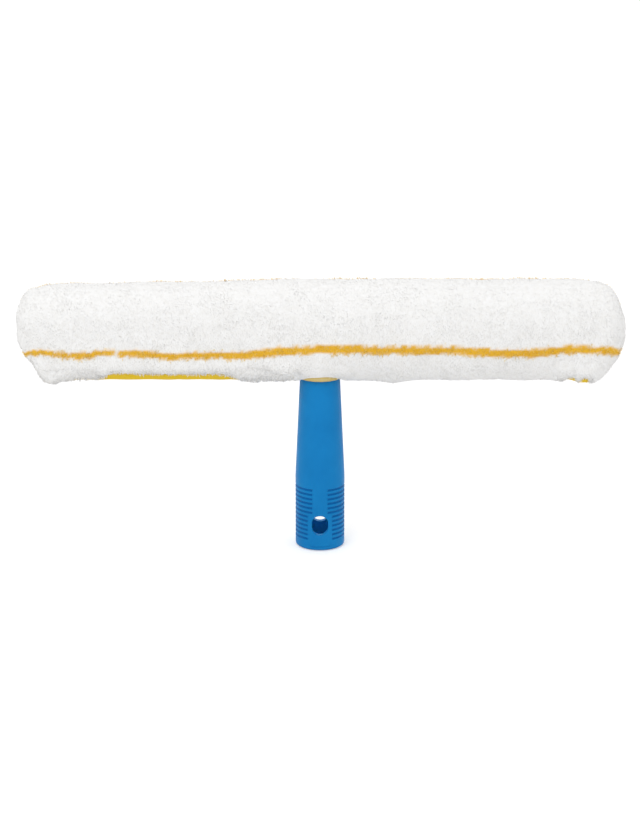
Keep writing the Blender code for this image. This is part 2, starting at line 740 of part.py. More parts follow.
def build():
    """Make the whole window washer."""
    pieces, cutters = start_collections()
    plastic = surface("blue_plastic", PLASTIC_BLUE, 0.42)
    plush = surface("white_plush", PILE_WHITE, 0.95)
    tape = surface("yellow_tape", TAPE_YELLOW, 0.75)
    hook = surface("hook_side", HOOK_YELLOW, 0.8)
    steel = surface("screw_steel", STEEL_GREY, 0.3, 1.0)
    screw_holes = add_cutter("screw_holes", screw_hole_mesh(), cutters)
    build_handle(pieces, cutters, plastic, screw_holes)
    build_crossbar(pieces, cutters, plastic, screw_holes)
    build_screws(pieces, cutters, steel)
    build_sleeve(pieces, cutters, plush)
    build_neck_binding(pieces, cutters, tape)
    build_fixed_tapes(pieces, tape, hook)
    build_flap(pieces, tape, hook)


build()
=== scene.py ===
"""Looks of a window washer: a striped plush sleeve over a blue plastic T-bar.

Sizes are in metres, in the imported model's own frame: the handle stands along +Z, and the sleeve
lies along X with its front towards -Y.
"""

import math

import bmesh
import bpy
import numpy as np
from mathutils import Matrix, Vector, kdtree, noise


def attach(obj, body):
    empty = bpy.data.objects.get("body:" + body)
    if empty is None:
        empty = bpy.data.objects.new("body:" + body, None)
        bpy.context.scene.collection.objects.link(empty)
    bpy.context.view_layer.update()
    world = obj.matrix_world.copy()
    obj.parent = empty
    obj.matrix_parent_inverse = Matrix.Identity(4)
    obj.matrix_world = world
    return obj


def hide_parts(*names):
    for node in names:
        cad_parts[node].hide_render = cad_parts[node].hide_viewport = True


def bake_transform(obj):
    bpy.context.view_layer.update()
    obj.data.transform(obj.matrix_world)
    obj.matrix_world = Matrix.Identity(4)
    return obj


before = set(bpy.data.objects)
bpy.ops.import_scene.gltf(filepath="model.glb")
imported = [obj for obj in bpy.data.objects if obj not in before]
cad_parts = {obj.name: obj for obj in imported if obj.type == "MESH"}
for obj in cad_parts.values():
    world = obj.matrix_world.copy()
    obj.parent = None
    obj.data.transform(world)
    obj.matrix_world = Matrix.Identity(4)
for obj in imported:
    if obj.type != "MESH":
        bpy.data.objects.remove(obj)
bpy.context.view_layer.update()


# Stage
# The tool stands on the end of its handle on a pale floor, in even studio light from a white
# surround, a broad lamp above the front and a weaker one on the right. The camera looks slightly down.
CAMERA_DISTANCE = 1.179
CAMERA_PITCH = math.radians(16.6)
CAMERA_LENS = 87.1
CAMERA_SENSOR = 36.0
AIM_HEIGHT = 0.0808
FLOOR_HALF_WIDTH = 9.0
FLOOR_GAP = 0.0002
FLOOR_COLOUR = (0.87, 0.87, 0.87, 1.0)
FLOOR_GLOW = 0.29
SURROUND_STRENGTH = 0.95
LAMPS = (
    ("front_lamp", (-0.65, -1.2, 1.65), 1.1, 6.6),
    ("side_lamp", (1.5, -0.9, 0.9), 1.0, 0.5),
)


def put_in(name, data):
    """A new object in the scene."""
    made = bpy.data.objects.new(name, data)
    bpy.context.scene.collection.objects.link(made)
    return made


def mesh_of(name, points, faces, edges=()):
    """A mesh from lists of points and faces."""
    made = bpy.data.meshes.new(name)
    made.from_pydata([tuple(point) for point in points], edges, faces)
    made.update()
    return made


def finished(made, *finishes):
    """A mesh with only these materials."""
    made.materials.clear()
    for finish in finishes:
        made.materials.append(finish)
    return made


def add_node(tree, kind, inputs=(), **settings):
    """Add a node with its settings, and with inputs that are values or other nodes' outputs."""
    made = tree.nodes.new(kind)
    for name, value in settings.items():
        setattr(made, name, value)
    for key, value in dict(inputs).items():
        if isinstance(value, bpy.types.NodeSocket):
            tree.links.new(value, made.inputs[key])
        else:
            made.inputs[key].default_value = value
    return made


def math_of(tree, operation, *values):
    """The result of an operation on values or outputs."""
    return add_node(tree, "ShaderNodeMath", dict(enumerate(values)), operation=operation).outputs[0]


def mapped(tree, share, low, high, first=0.0, second=1.0):
    """A value that goes from first to second as a share goes from low to high."""
    inputs = {0: share, 1: low, 2: high, 3: first, 4: second}
    return add_node(tree, "ShaderNodeMapRange", inputs).outputs[0]


def seen_share(owner):
    """An emptied node tree, and its first value: 1 for the rays that show a backdrop, 0 for its light."""
    owner.use_nodes = True
    tree = owner.node_tree
    tree.nodes.clear()
    rays = add_node(tree, "ShaderNodeLightPath").outputs
    direct = math_of(tree, "MAXIMUM", rays["Is Camera Ray"], rays["Is Transmission Ray"])
    return tree, math_of(tree, "MAXIMUM", direct, rays["Is Glossy Ray"])


camera = put_in("camera", bpy.data.cameras.new("camera"))
camera.data.lens = CAMERA_LENS
camera.data.sensor_width = CAMERA_SENSOR
camera.location.y = -CAMERA_DISTANCE * math.cos(CAMERA_PITCH)
camera.location.z = AIM_HEIGHT + CAMERA_DISTANCE * math.sin(CAMERA_PITCH)
camera.rotation_euler = (math.pi / 2 - CAMERA_PITCH, 0.0, 0.0)
bpy.context.scene.camera = camera

surround = bpy.data.worlds.new("surround")
bpy.context.scene.world = surround
tree, seen = seen_share(surround)
strength = mapped(tree, seen, 0.0, 1.0, SURROUND_STRENGTH, 1.0)
sky = add_node(tree, "ShaderNodeBackground", {"Color": (1.0, 1.0, 1.0, 1.0), "Strength": strength})
add_node(tree, "ShaderNodeOutputWorld", {"Surface": sky.outputs[0]})

for lamp_name, place, lamp_size, power in LAMPS:
    lamp = put_in(lamp_name, bpy.data.lights.new(lamp_name, "AREA"))
    lamp.data.shape = "DISK"
    lamp.data.size = lamp_size
    lamp.data.energy = power
    lamp.location = place
    toward = Vector((0.0, 0.0, AIM_HEIGHT)) - Vector(place)
    lamp.rotation_euler = toward.to_track_quat("-Z", "Y").to_euler()

floor_paint = bpy.data.materials.new("floor_paint")
tree, seen = seen_share(floor_paint)
matt = add_node(tree, "ShaderNodeBsdfDiffuse", {"Color": FLOOR_COLOUR})
glow = add_node(tree, "ShaderNodeEmission", {"Strength": math_of(tree, "MULTIPLY", seen, FLOOR_GLOW)})
both = add_node(tree, "ShaderNodeAddShader", {0: matt.outputs[0], 1: glow.outputs[0]})
add_node(tree, "ShaderNodeOutputMaterial", {"Surface": both.outputs[0]})
floor_corners = [
    (x * FLOOR_HALF_WIDTH, y * FLOOR_HALF_WIDTH, -FLOOR_GAP) for x, y in ((-1, -1), (1, -1), (1, 1), (-1, 1))
]
floor = put_in("floor", finished(mesh_of("floor", floor_corners, [(0, 1, 2, 3)]), floor_paint))


# Handle
# A hollow polypropylene moulding: a tapered grip with grooves round both sides and a hanging hole,
# an open lower end that takes an extension pole, and a flat saddle at the top for the crossbar.
HANDLE_RADIUS = 0.0146
HANDLE_STRAIGHT = 0.043
HANDLE_VISIBLE = 0.1028
HANDLE_FILLET = 0.0015
NECK_RADIUS = 0.0118
HEAD_RADIUS = 0.0088
HEAD_START = 0.1122
TAPER_START = 0.047
TAPER_ROWS = 14
BEND_BLEND = 0.0012
BEND_ROWS = (-1.5, -1, -0.5, 0, 0.5, 1, 1.5)
SOCKET_MOUTH_RADIUS = 0.0113
SOCKET_END_RADIUS = 0.0096
SOCKET_DEPTH = 0.078
CORE_RADII = (0.0082, 0.0064)
HOLE_WIDTH = 0.0097
HOLE_HEIGHT = 0.0122
HOLE_CENTRE_HEIGHT = 0.0156
HOLE_CUT_REACH = 0.022
HOLE_RIM = 0.0006
HOLE_RIM_DEPTH = 0.0003
GROOVE_COUNT = 12
GROOVE_LONG_COUNT = 6
GROOVE_PITCH = 0.00278
GROOVE_FIRST_HEIGHT = 0.0069
GROOVE_HALF_FLOOR = 0.00046
GROOVE_HALF_MOUTH = 0.00074
GROOVE_MARGIN = 0.0002
GROOVE_DEPTH = 0.0005
GROOVE_SHORT_STOP = 0.0071
GROOVE_LONG_STOP = 0.0044
GROOVE_END_SLOPE = 0.0002
FOOT_LINE_HEIGHT = 0.0024
FOOT_LINE_HALF_HEIGHTS = (0.00008, 0.00022)
FOOT_LINE_HALF_WIDTHS = (0.0053, 0.0059)
FOOT_LINE_DEPTH = 0.0002
SADDLE_HALF_LENGTH = 0.035
SADDLE_HALF_DEPTH = 0.009
SADDLE_BOTTOM = 0.1125
SADDLE_TOP = 0.1175
SADDLE_CORNER = 0.004
SADDLE_EDGE = 0.0005
SCREW_PLACE = 0.025
SCREW_SEAT_RADIUS = 0.0038
SCREW_SEAT_TOP = 0.1152
SCREW_HOLE_RADIUS = 0.0018
CUT_OVERRUN = 0.004
HANDLE_TURN_STEPS = 144
HANDLE_TURN_GAP = 0.012
SHARP_ANGLE = math.radians(35)
PLASTIC_BLUE = (20, 127, 193)
PLASTIC_BLUE_DEEP = (16, 120, 186)
# Painted shade: the darker blue in the grooves and in the foot's witness line.
GROOVE_PAINTED_SHADE = (4, 96, 164)
# Painted light: the paler blue on the socket's shadowed inner wall.
BORE_PAINTED_LIGHT = (44, 180, 250)
BORE_MARGIN = 0.0004
BORE_TOP_MARGIN = 0.001
GROOVE_SHADE_GAIN = 1.6
GROOVE_SHADE_LIMIT = 0.9


def linear(rgb):
    """An 8-bit screen colour as the linear colour of a shader."""
    shares = [channel / 255 for channel in rgb]
    light = [share / 12.92 if share <= 0.04045 else ((share + 0.055) / 1.055) ** 2.4 for share in shares]
    return (*light, 1.0)


def ramp(value, start, end):
    """A smooth step from 0 at start to 1 at end."""
    share = np.clip((value - start) / (end - start), 0.0, 1.0)
    return share * share * (3 - 2 * share)


def new_finish(name, roughness, specular):
    """A Principled material: its tree and its shader come with it."""
    material = bpy.data.materials.new(name)
    material.use_nodes = True
    shader = material.node_tree.nodes["Principled BSDF"]
    shader.inputs["Roughness"].default_value = roughness
    shader.inputs["Specular IOR Level"].default_value = specular
    return material, material.node_tree, shader


def place_noise(tree, scale, detail=2.0, roughness=0.5, stretch=(1.0, 1.0, 1.0)):
    """Noise on the piece's own place, with a scale in turns per metre."""
    place = add_node(tree, "ShaderNodeTexCoord").outputs["Object"]
    place = add_node(tree, "ShaderNodeMapping", {"Vector": place, "Scale": stretch}).outputs[0]
    inputs = {"Vector": place, "Scale": scale, "Detail": detail, "Roughness": roughness}
    return add_node(tree, "ShaderNodeTexNoise", inputs).outputs[0]


def carried(tree, name):
    """A share that the mesh carries."""
    return add_node(tree, "ShaderNodeAttribute", attribute_name=name).outputs["Fac"]


def mixed(tree, share, first, second):
    """Two colours mixed by a share."""
    return add_node(tree, "ShaderNodeMix", {0: share, 6: first, 7: second}, data_type="RGBA").outputs[2]


def two_tones(tree, share, low, high, first, second):
    """Two screen colours mixed by a share that runs from low to high."""
    return mixed(tree, mapped(tree, share, low, high), linear(first), linear(second))


def dress(tree, shader, colour, height=None, strength=0.0, depth=0.0):
    """Give a shader its colour, and a bump from a height."""
    tree.links.new(colour, shader.inputs["Base Color"])
    if height is not None:
        bump = add_node(tree, "ShaderNodeBump", {"Height": height, "Strength": strength, "Distance": depth})
        tree.links.new(bump.outputs[0], shader.inputs["Normal"])


def moulded_plastic(name, colour, deep):
    """Satin moulded polypropylene with a fine spark-eroded grain and faint handling marks, with painted
    shade in the grooves and painted light on the socket's inner wall where the mesh carries them.
    """
    material, tree, shader = new_finish(name, 0.4, 0.08)
    tone = two_tones(tree, place_noise(tree, 55.0, 3.0), 0.35, 0.65, deep, colour)
    # The grooves take a painted shade and the socket's inner wall a painted light.
    for attribute, painted_tone in (("groove", GROOVE_PAINTED_SHADE), ("bore", BORE_PAINTED_LIGHT)):
        tone = mixed(tree, carried(tree, attribute), tone, linear(painted_tone))
    marks = place_noise(tree, 260.0, 4.0, 0.65, (1.0, 1.0, 0.25))
    tree.links.new(mapped(tree, marks, 0.4, 0.7, 0.36, 0.5), shader.inputs["Roughness"])
    dress(tree, shader, tone, place_noise(tree, 2600.0, 2.0), 0.12, 0.00012)
    return material


def carry(made, name, values, kind="FLOAT", domain="POINT"):
    """Write a value for each point or face of a mesh."""
    field = "vector" if kind == "FLOAT_VECTOR" else "value"
    flat = np.asarray(values, dtype=np.float32).ravel()
    made.attributes.new(name, kind, domain).data.foreach_set(field, flat)


def ring_faces(rings, across, looped=False, capped=False):
    """Quads between rows of points, each row a closed ring of the same count."""
    faces = []
    for row in range(rings if looped else rings - 1):
        start, above = row * across, ((row + 1) % rings) * across
        for index in range(across):
            after = (index + 1) % across
            faces.append((start + index, start + after, above + after, above + index))
    if capped:
        faces += [tuple(range(across)), tuple(range((rings - 1) * across, rings * across))]
    return faces


def outward(made, merge=True):
    """Turn a closed mesh's faces outwards."""
    bm = bmesh.new()
    bm.from_mesh(made)
    if merge:
        bmesh.ops.remove_doubles(bm, verts=bm.verts, dist=1e-7)
    bmesh.ops.recalc_face_normals(bm, faces=bm.faces)
    bm.to_mesh(made)
    bm.free()
    return made


def rounded_block(name, low, high, corner, axis, edge=0.0, corner_steps=8):
    """A block whose edges along one axis are rounded, and whose other edges may be eased."""
    bm = bmesh.new()
    for vert in bmesh.ops.create_cube(bm, size=1.0)["verts"]:
        for index in range(3):
            vert.co[index] = (low[index] + high[index]) / 2 + vert.co[index] * (high[index] - low[index])
    sides = [index for index in range(3) if index != axis]
    upright = [e for e in bm.edges if all(e.verts[0].co[side] == e.verts[1].co[side] for side in sides)]
    bmesh.ops.bevel(bm, geom=upright, offset=corner, segments=corner_steps, profile=0.5, affect="EDGES")
    if edge:
        level = [e for e in bm.edges if e.verts[0].co[axis] == e.verts[1].co[axis]]
        bmesh.ops.bevel(bm, geom=level, offset=edge, segments=2, profile=0.5, affect="EDGES")
    made = bpy.data.meshes.new(name)
    bm.to_mesh(made)
    bm.free()
    return outward(made, merge=False)


def turned_stack(name, stations, steps, centre=(0.0, 0.0, 0.0), axis=2):
    """A closed round body from radii and places along an axis."""
    points = []
    for radius, along in stations:
        for angle in (math.tau * step / steps for step in range(steps)):
            out, side = radius * math.cos(angle), radius * math.sin(angle)
            point = (out, along, side) if axis == 1 else (out, side, along)
            points.append([own + middle for own, middle in zip(point, centre)])
    return outward(mesh_of(name, points, ring_faces(len(stations), steps, capped=True)))


def shade_smooth(made):
    """Smooth shading with the sharp edges kept."""
    made.shade_smooth()
    made.set_sharp_from_angle(angle=SHARP_ANGLE)


def carve(target, cuts, *finishes, joined=()):
    """Join meshes to an object, cut others out of it, and keep the result as a plain mesh."""
    helpers = []
    for operation, tools in (("UNION", joined), ("DIFFERENCE", cuts)):
        for tool in tools:
            helpers.append(put_in(tool.name, tool))
            boolean = target.modifiers.new(tool.name, "BOOLEAN")
            boolean.operation = operation
            boolean.solver = "EXACT"
            boolean.object = helpers[-1]
    graph = bpy.context.evaluated_depsgraph_get()
    made = bpy.data.meshes.new_from_object(target.evaluated_get(graph))
    target.modifiers.clear()
    target.data = finished(made, *finishes)
    shade_smooth(made)
    for helper in helpers:
        bpy.data.objects.remove(helper, do_unlink=True)


def handle_rows():
    """The outside of the handle from its foot up, as radius and height."""
    rows = []
    for angle in (math.radians(-90 + 15 * step) for step in range(7)):
        out, up = HANDLE_FILLET * math.cos(angle), HANDLE_FILLET * math.sin(angle)
        rows.append((HANDLE_RADIUS - HANDLE_FILLET + out, HANDLE_FILLET + up))
    heights = {FOOT_LINE_HEIGHT + side * step for side in (-1, 1) for step in FOOT_LINE_HALF_HEIGHTS}
    for index in range(GROOVE_COUNT):
        centre = GROOVE_FIRST_HEIGHT + index * GROOVE_PITCH
        for step in (0.0, GROOVE_HALF_FLOOR, GROOVE_HALF_MOUTH, GROOVE_HALF_MOUTH + GROOVE_MARGIN):
            heights.update((centre - step, centre + step))
    heights.update(HANDLE_STRAIGHT + BEND_BLEND * share for share in BEND_ROWS)
    heights.update(np.linspace(TAPER_START, HANDLE_VISIBLE, TAPER_ROWS))
    slope = (HANDLE_RADIUS - NECK_RADIUS) / (HANDLE_VISIBLE - HANDLE_STRAIGHT)
    for height in sorted(heights):
        past = height - HANDLE_STRAIGHT
        blend = (past + math.hypot(past, BEND_BLEND / 2)) / 2
        rows.append((HANDLE_RADIUS - slope * blend, float(height)))
    return [*rows, (HEAD_RADIUS, HEAD_START), (HEAD_RADIUS, (SADDLE_BOTTOM + SADDLE_TOP) / 2)]


def handle_turns():
    """The angles round the handle, with close pairs where the grooves stop."""
    turns = {math.tau * step / HANDLE_TURN_STEPS for step in range(HANDLE_TURN_STEPS)}
    for stop in (GROOVE_SHORT_STOP, GROOVE_LONG_STOP):
        for shift in (0.0, GROOVE_END_SLOPE):
            angle = math.asin((stop + shift) / HANDLE_RADIUS)
            close = {angle, math.pi - angle, math.pi + angle, math.tau - angle}
            turns = {t for t in turns if all(abs(t - c) > HANDLE_TURN_GAP for c in close)} | close
    return np.array(sorted(turns))


def groove_depth(across, height):
    """How deep the grooves and the foot's witness line cut in, at a place on the outside."""
    depth = np.zeros_like(across)
    for index in range(GROOVE_COUNT):
        centre = GROOVE_FIRST_HEIGHT + index * GROOVE_PITCH
        stop = GROOVE_LONG_STOP if index >= GROOVE_COUNT - GROOVE_LONG_COUNT else GROOVE_SHORT_STOP
        in_band = 1 - ramp(abs(height - centre), GROOVE_HALF_FLOOR, GROOVE_HALF_MOUTH)
        in_arc = ramp(np.abs(across), stop - 1e-5, stop + GROOVE_END_SLOPE)
        depth = np.maximum(depth, GROOVE_DEPTH * in_band * in_arc)
    on_line = 1 - ramp(abs(height - FOOT_LINE_HEIGHT), *FOOT_LINE_HALF_HEIGHTS)
    in_width = 1 - ramp(np.abs(across), *FOOT_LINE_HALF_WIDTHS)
    return np.maximum(depth, FOOT_LINE_DEPTH * on_line * in_width)


def hole_distance(across, height):
    """How far a place on the outside is from the hanging hole's outline."""
    up = np.maximum(np.abs(height - HOLE_CENTRE_HEIGHT) - (HOLE_HEIGHT - HOLE_WIDTH) / 2, 0.0)
    return np.hypot(across, up) - HOLE_WIDTH / 2


turns = handle_turns()
outside = handle_rows()
inside = [(CORE_RADII[1], outside[-1][1]), (CORE_RADII[0], SOCKET_DEPTH)]
for share in np.linspace(0.0, 1.0, 9):
    flare = (SOCKET_MOUTH_RADIUS - SOCKET_END_RADIUS) * share
    inside.append((SOCKET_END_RADIUS + flare, SOCKET_DEPTH * (1 - share)))
handle_points = []
for row, (reach, height) in enumerate(outside + inside):
    if row < len(outside):
        across = reach * np.sin(turns)
        near_hole = 1 - ramp(hole_distance(across, height), 0.0, HOLE_RIM)
        reach = reach - groove_depth(across, height) - HOLE_RIM_DEPTH * near_hole**2
    handle_points += list(zip(reach * np.sin(turns), -reach * np.cos(turns), np.full(len(turns), height)))
handle_faces = ring_faces(len(outside) + len(inside), len(turns), looped=True)
handle = put_in("grip", outward(mesh_of("grip", handle_points, handle_faces)))
hole = turned_stack(
    "hanging_hole_cut",
    [(HOLE_WIDTH / 2, -HOLE_CUT_REACH), (HOLE_WIDTH / 2, HOLE_CUT_REACH)],
    64,
    (0.0, 0.0, HOLE_CENTRE_HEIGHT),
    axis=1,
)
for vert in hole.vertices:
    rise = vert.co.z - HOLE_CENTRE_HEIGHT
    if abs(rise) > 1e-5:
        vert.co.z += math.copysign((HOLE_HEIGHT - HOLE_WIDTH) / 2, rise)
saddle = rounded_block(
    "saddle_block",
    (-SADDLE_HALF_LENGTH, -SADDLE_HALF_DEPTH, SADDLE_BOTTOM),
    (SADDLE_HALF_LENGTH, SADDLE_HALF_DEPTH, SADDLE_TOP),
    SADDLE_CORNER,
    2,
    SADDLE_EDGE,
)
screw_profile = [
    (SCREW_SEAT_RADIUS, SADDLE_BOTTOM - CUT_OVERRUN),
    (SCREW_SEAT_RADIUS, SCREW_SEAT_TOP),
    (SCREW_HOLE_RADIUS, SCREW_SEAT_TOP),
    (SCREW_HOLE_RADIUS, SADDLE_TOP + CUT_OVERRUN),
]
cuts = [turned_stack("screw_cut", screw_profile, 32, (side * SCREW_PLACE, 0.0, 0.0)) for side in (-1, 1)]
blue_plastic = moulded_plastic("blue_plastic_satin", PLASTIC_BLUE, PLASTIC_BLUE_DEEP)
carve(handle, [*cuts, hole], blue_plastic, joined=[saddle])
handle_xyz = np.array([vert.co for vert in handle.data.vertices])
from_axis = np.hypot(handle_xyz[:, 0], handle_xyz[:, 1])
in_wall = from_axis < SOCKET_MOUTH_RADIUS + BORE_MARGIN
in_wall &= handle_xyz[:, 2] < SOCKET_DEPTH + BORE_TOP_MARGIN
# Painted shade in the grooves and the foot's witness line, deepened by a gain and capped.
groove_shade_share = groove_depth(handle_xyz[:, 0], handle_xyz[:, 2]) / GROOVE_DEPTH
carry(handle.data, "groove", np.clip(groove_shade_share * GROOVE_SHADE_GAIN, 0.0, GROOVE_SHADE_LIMIT) * ~in_wall)
# Painted light on the socket's inner wall.
carry(handle.data, "bore", in_wall)
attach(handle, "washer")
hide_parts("handle")


# Crossbar
# A ribbed polypropylene moulding that holds the sleeve flat and its pockets full of water. It drops
# over the handle's saddle, and shows only through the slit when the flap is open.
BAR_BLUE = (28, 118, 182)
BAR_BLUE_DEEP = (24, 110, 172)
finished(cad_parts["crossbar"].data, moulded_plastic("crossbar_plastic", BAR_BLUE, BAR_BLUE_DEEP))


# Saddle screws
# Two zinc-plated pan head screws with a cross recess, driven up through the saddle into the bar.
SCREW_HEAD_RADIUS = 0.0035
SCREW_HEAD_HEIGHT = 0.0021
SCREW_HEAD_ROUND = 0.0012
SCREW_HEAD_RIM_SHARE = 0.45
SCREW_SHANK_RADIUS = 0.0012
SCREW_THREAD_RADIUS = 0.0015
SCREW_LENGTH = 0.016
SCREW_TIP = 0.002
SCREW_TIP_RADIUS = 0.00015
SCREW_THREAD_PITCH = 0.0011
SCREW_SEAT_HEIGHT = 0.1149
SCREW_SLOT_HALF_LENGTH = 0.0018
SCREW_SLOT_HALF_WIDTH = 0.00045
SCREW_SLOT_DEPTH = 0.0012
SCREW_STEPS = 24
STEEL_GREY = (176, 178, 180)
STEEL_DARK = (150, 152, 156)

steel, tree, shader = new_finish("zinc_plate", 0.3, 0.5)
shader.inputs["Metallic"].default_value = 1.0
dress(tree, shader, two_tones(tree, place_noise(tree, 900.0, 3.0), 0.35, 0.65, STEEL_DARK, STEEL_GREY))


def screw_rows():
    """Half the outline of a pan head screw with ridged thread, tip first, seat at height 0."""
    height = SCREW_LENGTH - SCREW_TIP
    rows = [(SCREW_TIP_RADIUS, SCREW_LENGTH), (SCREW_SHANK_RADIUS, height)]
    while height > SCREW_THREAD_PITCH:
        rows.append((SCREW_THREAD_RADIUS, height - SCREW_THREAD_PITCH / 2))
        height -= SCREW_THREAD_PITCH
        rows.append((SCREW_SHANK_RADIUS, height))
    rows += [(SCREW_SHANK_RADIUS, 0.0), (SCREW_HEAD_RADIUS, 0.0)]
    for angle in (math.radians(22.5 * step) for step in range(5)):
        out = SCREW_HEAD_RADIUS - SCREW_HEAD_ROUND * (1 - math.cos(angle))
        rise = SCREW_HEAD_RIM_SHARE + (1 - SCREW_HEAD_RIM_SHARE) * math.sin(angle)
        rows.append((out, -SCREW_HEAD_HEIGHT * rise))
    return rows


screw = put_in("screw_pattern", turned_stack("screw_pattern", screw_rows(), SCREW_STEPS))
slot_low, slot_high = -SCREW_HEAD_HEIGHT - CUT_OVERRUN, -SCREW_HEAD_HEIGHT + SCREW_SLOT_DEPTH
slots = [
    rounded_block(name, (-x, -y, slot_low), (x, y, slot_high), SCREW_SLOT_HALF_WIDTH / 3, 2, corner_steps=2)
    for name, x, y in (
        ("slot_along", SCREW_SLOT_HALF_LENGTH, SCREW_SLOT_HALF_WIDTH),
        ("slot_across", SCREW_SLOT_HALF_WIDTH, SCREW_SLOT_HALF_LENGTH),
    )
]
carve(screw, slots, steel)
for side, node in ((-1, "saddle_screw_left"), (1, "saddle_screw_right")):
    driven = put_in("zinc_" + node, screw.data.copy())
    for vert in driven.data.vertices:
        vert.co += Vector((side * SCREW_PLACE, 0.0, SCREW_SEAT_HEIGHT))
    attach(driven, "washer")
    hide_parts(node)
bpy.data.objects.remove(screw, do_unlink=True)


# Sleeve fabric
# One cut of pile fabric with a knitted back, sewn to a tube round the crossbar and closed at both
# ends. It is slit under its left half and has a round opening for the neck. This piece is the back
# and the dense lower part of the pile; the tufts that follow are the pile's loose upper part.
SLEEVE_HALF_LENGTH = 0.1775
SLEEVE_HALF_DEPTH = 0.0205
SLEEVE_HALF_HEIGHT = 0.02935
SLEEVE_CENTRE_HEIGHT = 0.13215
SLEEVE_BOTTOM = 0.1028
SLEEVE_ROUNDNESS_SHARE = 0.8
SLEEVE_STATION_SHARES = np.array(
    (
        (-1.000, 0.45, 0.22, 0.42), (-0.988, 0.70, 0.46, 0.68), (-0.960, 0.82, 0.62, 0.82),
        (-0.932, 0.86, 0.74, 0.90), (-0.908, 0.87, 1.01, 0.94), (-0.885, 0.88, 1.08, 0.97),
        (-0.858, 0.90, 1.06, 0.99), (-0.838, 0.91, 1.00, 1.00), (-0.600, 0.94, 1.00, 1.00),
        (-0.300, 0.98, 1.00, 1.00), (0.000, 1.00, 1.00, 1.00), (0.220, 1.04, 1.00, 1.00),
        (0.500, 1.00, 1.00, 1.00), (0.720, 1.03, 0.99, 1.00), (0.820, 1.01, 1.01, 0.99),
        (0.850, 1.00, 1.08, 0.98), (0.880, 0.98, 1.08, 0.96), (0.915, 0.96, 0.98, 0.93),
        (0.955, 0.88, 0.76, 0.85), (0.985, 0.62, 0.60, 0.66), (1.000, 0.25, 0.25, 0.30),
    )
)
FORM_BLEND = (-0.011, -0.0055, 0.0, 0.0055, 0.011)
FLAP_SPAN = (-0.1485, -0.0165)
FLAP_ANGLES = (-45.0, 33.0)
HINGE_BINDING_ANGLES = (14.0, 38.0)
SEAM_TAPE_SPAN = (0.0165, 0.137)
SEAM_TAPE_ANGLES = (-13.0, 13.0)
LEFT_TAPE_SPAN = (-0.163, -0.151)
RIGHT_TAPE_SPAN = (0.139, 0.157)
END_TAPE_ANGLES = (-40.0, 34.0)
RECESS_MARGIN = 0.0003
RECESS_MARGIN_ANGLE = 1.5
RECESS_SOFT = 0.0006
RECESS_SOFT_ANGLE = 2.0
MAT_STATIONS = 300
MAT_TURNS = 128
MAT_INSET = 0.0007
END_INSETS = (0.0029, 0.0013)
END_DOME = ((0.86, 0.0004), (0.66, 0.0008), (0.42, 0.0011), (0.16, 0.0012))
FLAP_RECESS_INSET = 0.0040
TAPE_BED_INSET = 0.0017
LUMP_HEIGHT = 0.0009
LUMP_SIZE = 0.024
CURL_HEIGHT = 0.00035
CURL_SIZE = 0.007
BULGES = (
    (0.044, 14.0, 0.013, 0.0016), (-0.100, 60.0, 0.020, 0.0007), (-0.020, 40.0, 0.012, 0.0013),
    (-0.040, 42.0, 0.012, -0.0016), (-0.1245, 46.5, 0.006, 0.0015), (0.118, 20.0, 0.012, 0.0006),
    (-0.125, 120.0, 0.022, 0.0006), (0.070, 110.0, 0.026, 0.0007), (0.0, 44.0, 0.017, 0.0024),
    (0.0, 316.0, 0.017, 0.0024), (-0.1715, 28.0, 0.010, 0.0016), (-0.1605, 172.0, 0.008, -0.0018),
    (0.1635, 33.0, 0.008, 0.0024), (0.0140, 40.0, 0.006, 0.0008),
)
BRIM_CREST = 0.003
BRIM_REACH = 0.011
BRIM_SOFT = 0.006
BRIMS = (
    (-0.163, -0.0165, 46.5, 0.0016), (0.139, 0.157, 41.5, 0.0015),
    (0.0165, 0.137, 15.0, 0.0010), (0.0165, 0.137, 345.0, 0.0010),
)
END_ROUNDING_START = 0.90
CAVITY_LOW = (-0.1633, -0.0093, 0.1122)
CAVITY_HIGH = (0.1633, 0.0093, 0.1528)
CAVITY_CORNER = 0.0083
NECK_OPENING_RADIUS = 0.0149
SLIT_START = -0.1465
SLIT_HALF_WIDTH = 0.003
WALL_MARGIN = 0.0001
STRIPE_HALF_WIDTHS = ((-0.178, 0.0013), (-0.165, 0.0018), (-0.06, 0.0021), (-0.02, 0.0026), (0.178, 0.0024))
STRIPE_SOFT = 0.0007
STRIPE_END = (0.1746, 0.1766)
STRIPE_WANDER = ((0.0006, 0.009, 0.3, 0.7), (0.0009, 0.0026, 1.3, 0.2))
STRIPE_RAGGED = (0.0008, 0.0034, 2.1, 5.3)
STRIPE_BREAK_PLACE = -0.1172
STRIPE_BREAK_HALF_WIDTH = 0.0011
STRIPE_BREAK_SLANT = 0.6
STRIPE_BREAK_DEPTH = 0.9
FRONT_STRIPE_HEIGHTS = (
    (-0.1780, 0.1226), (-0.1730, 0.1197), (-0.1686, 0.1211), (-0.1644, 0.1219), (-0.1580, 0.1221),
    (-0.1504, 0.1212), (-0.1400, 0.1209), (-0.1320, 0.1214), (-0.1239, 0.1232), (-0.1200, 0.1227),
    (-0.1159, 0.1222), (-0.1100, 0.1227), (-0.0976, 0.1215), (-0.0870, 0.1206), (-0.0760, 0.1207),
    (-0.0640, 0.1209), (-0.0459, 0.1208), (-0.0264, 0.1230), (-0.0115, 0.1240), (0.0058, 0.1252),
    (0.0100, 0.1253), (0.0149, 0.1247), (0.0459, 0.1241), (0.0734, 0.1243), (0.0900, 0.1233),
    (0.1040, 0.1221), (0.1119, 0.1218), (0.1319, 0.1233), (0.1492, 0.1243), (0.1610, 0.1238),
    (0.1690, 0.1225), (0.1735, 0.1210), (0.1780, 0.1190),
)
STRIPE_PITCH = 0.0577
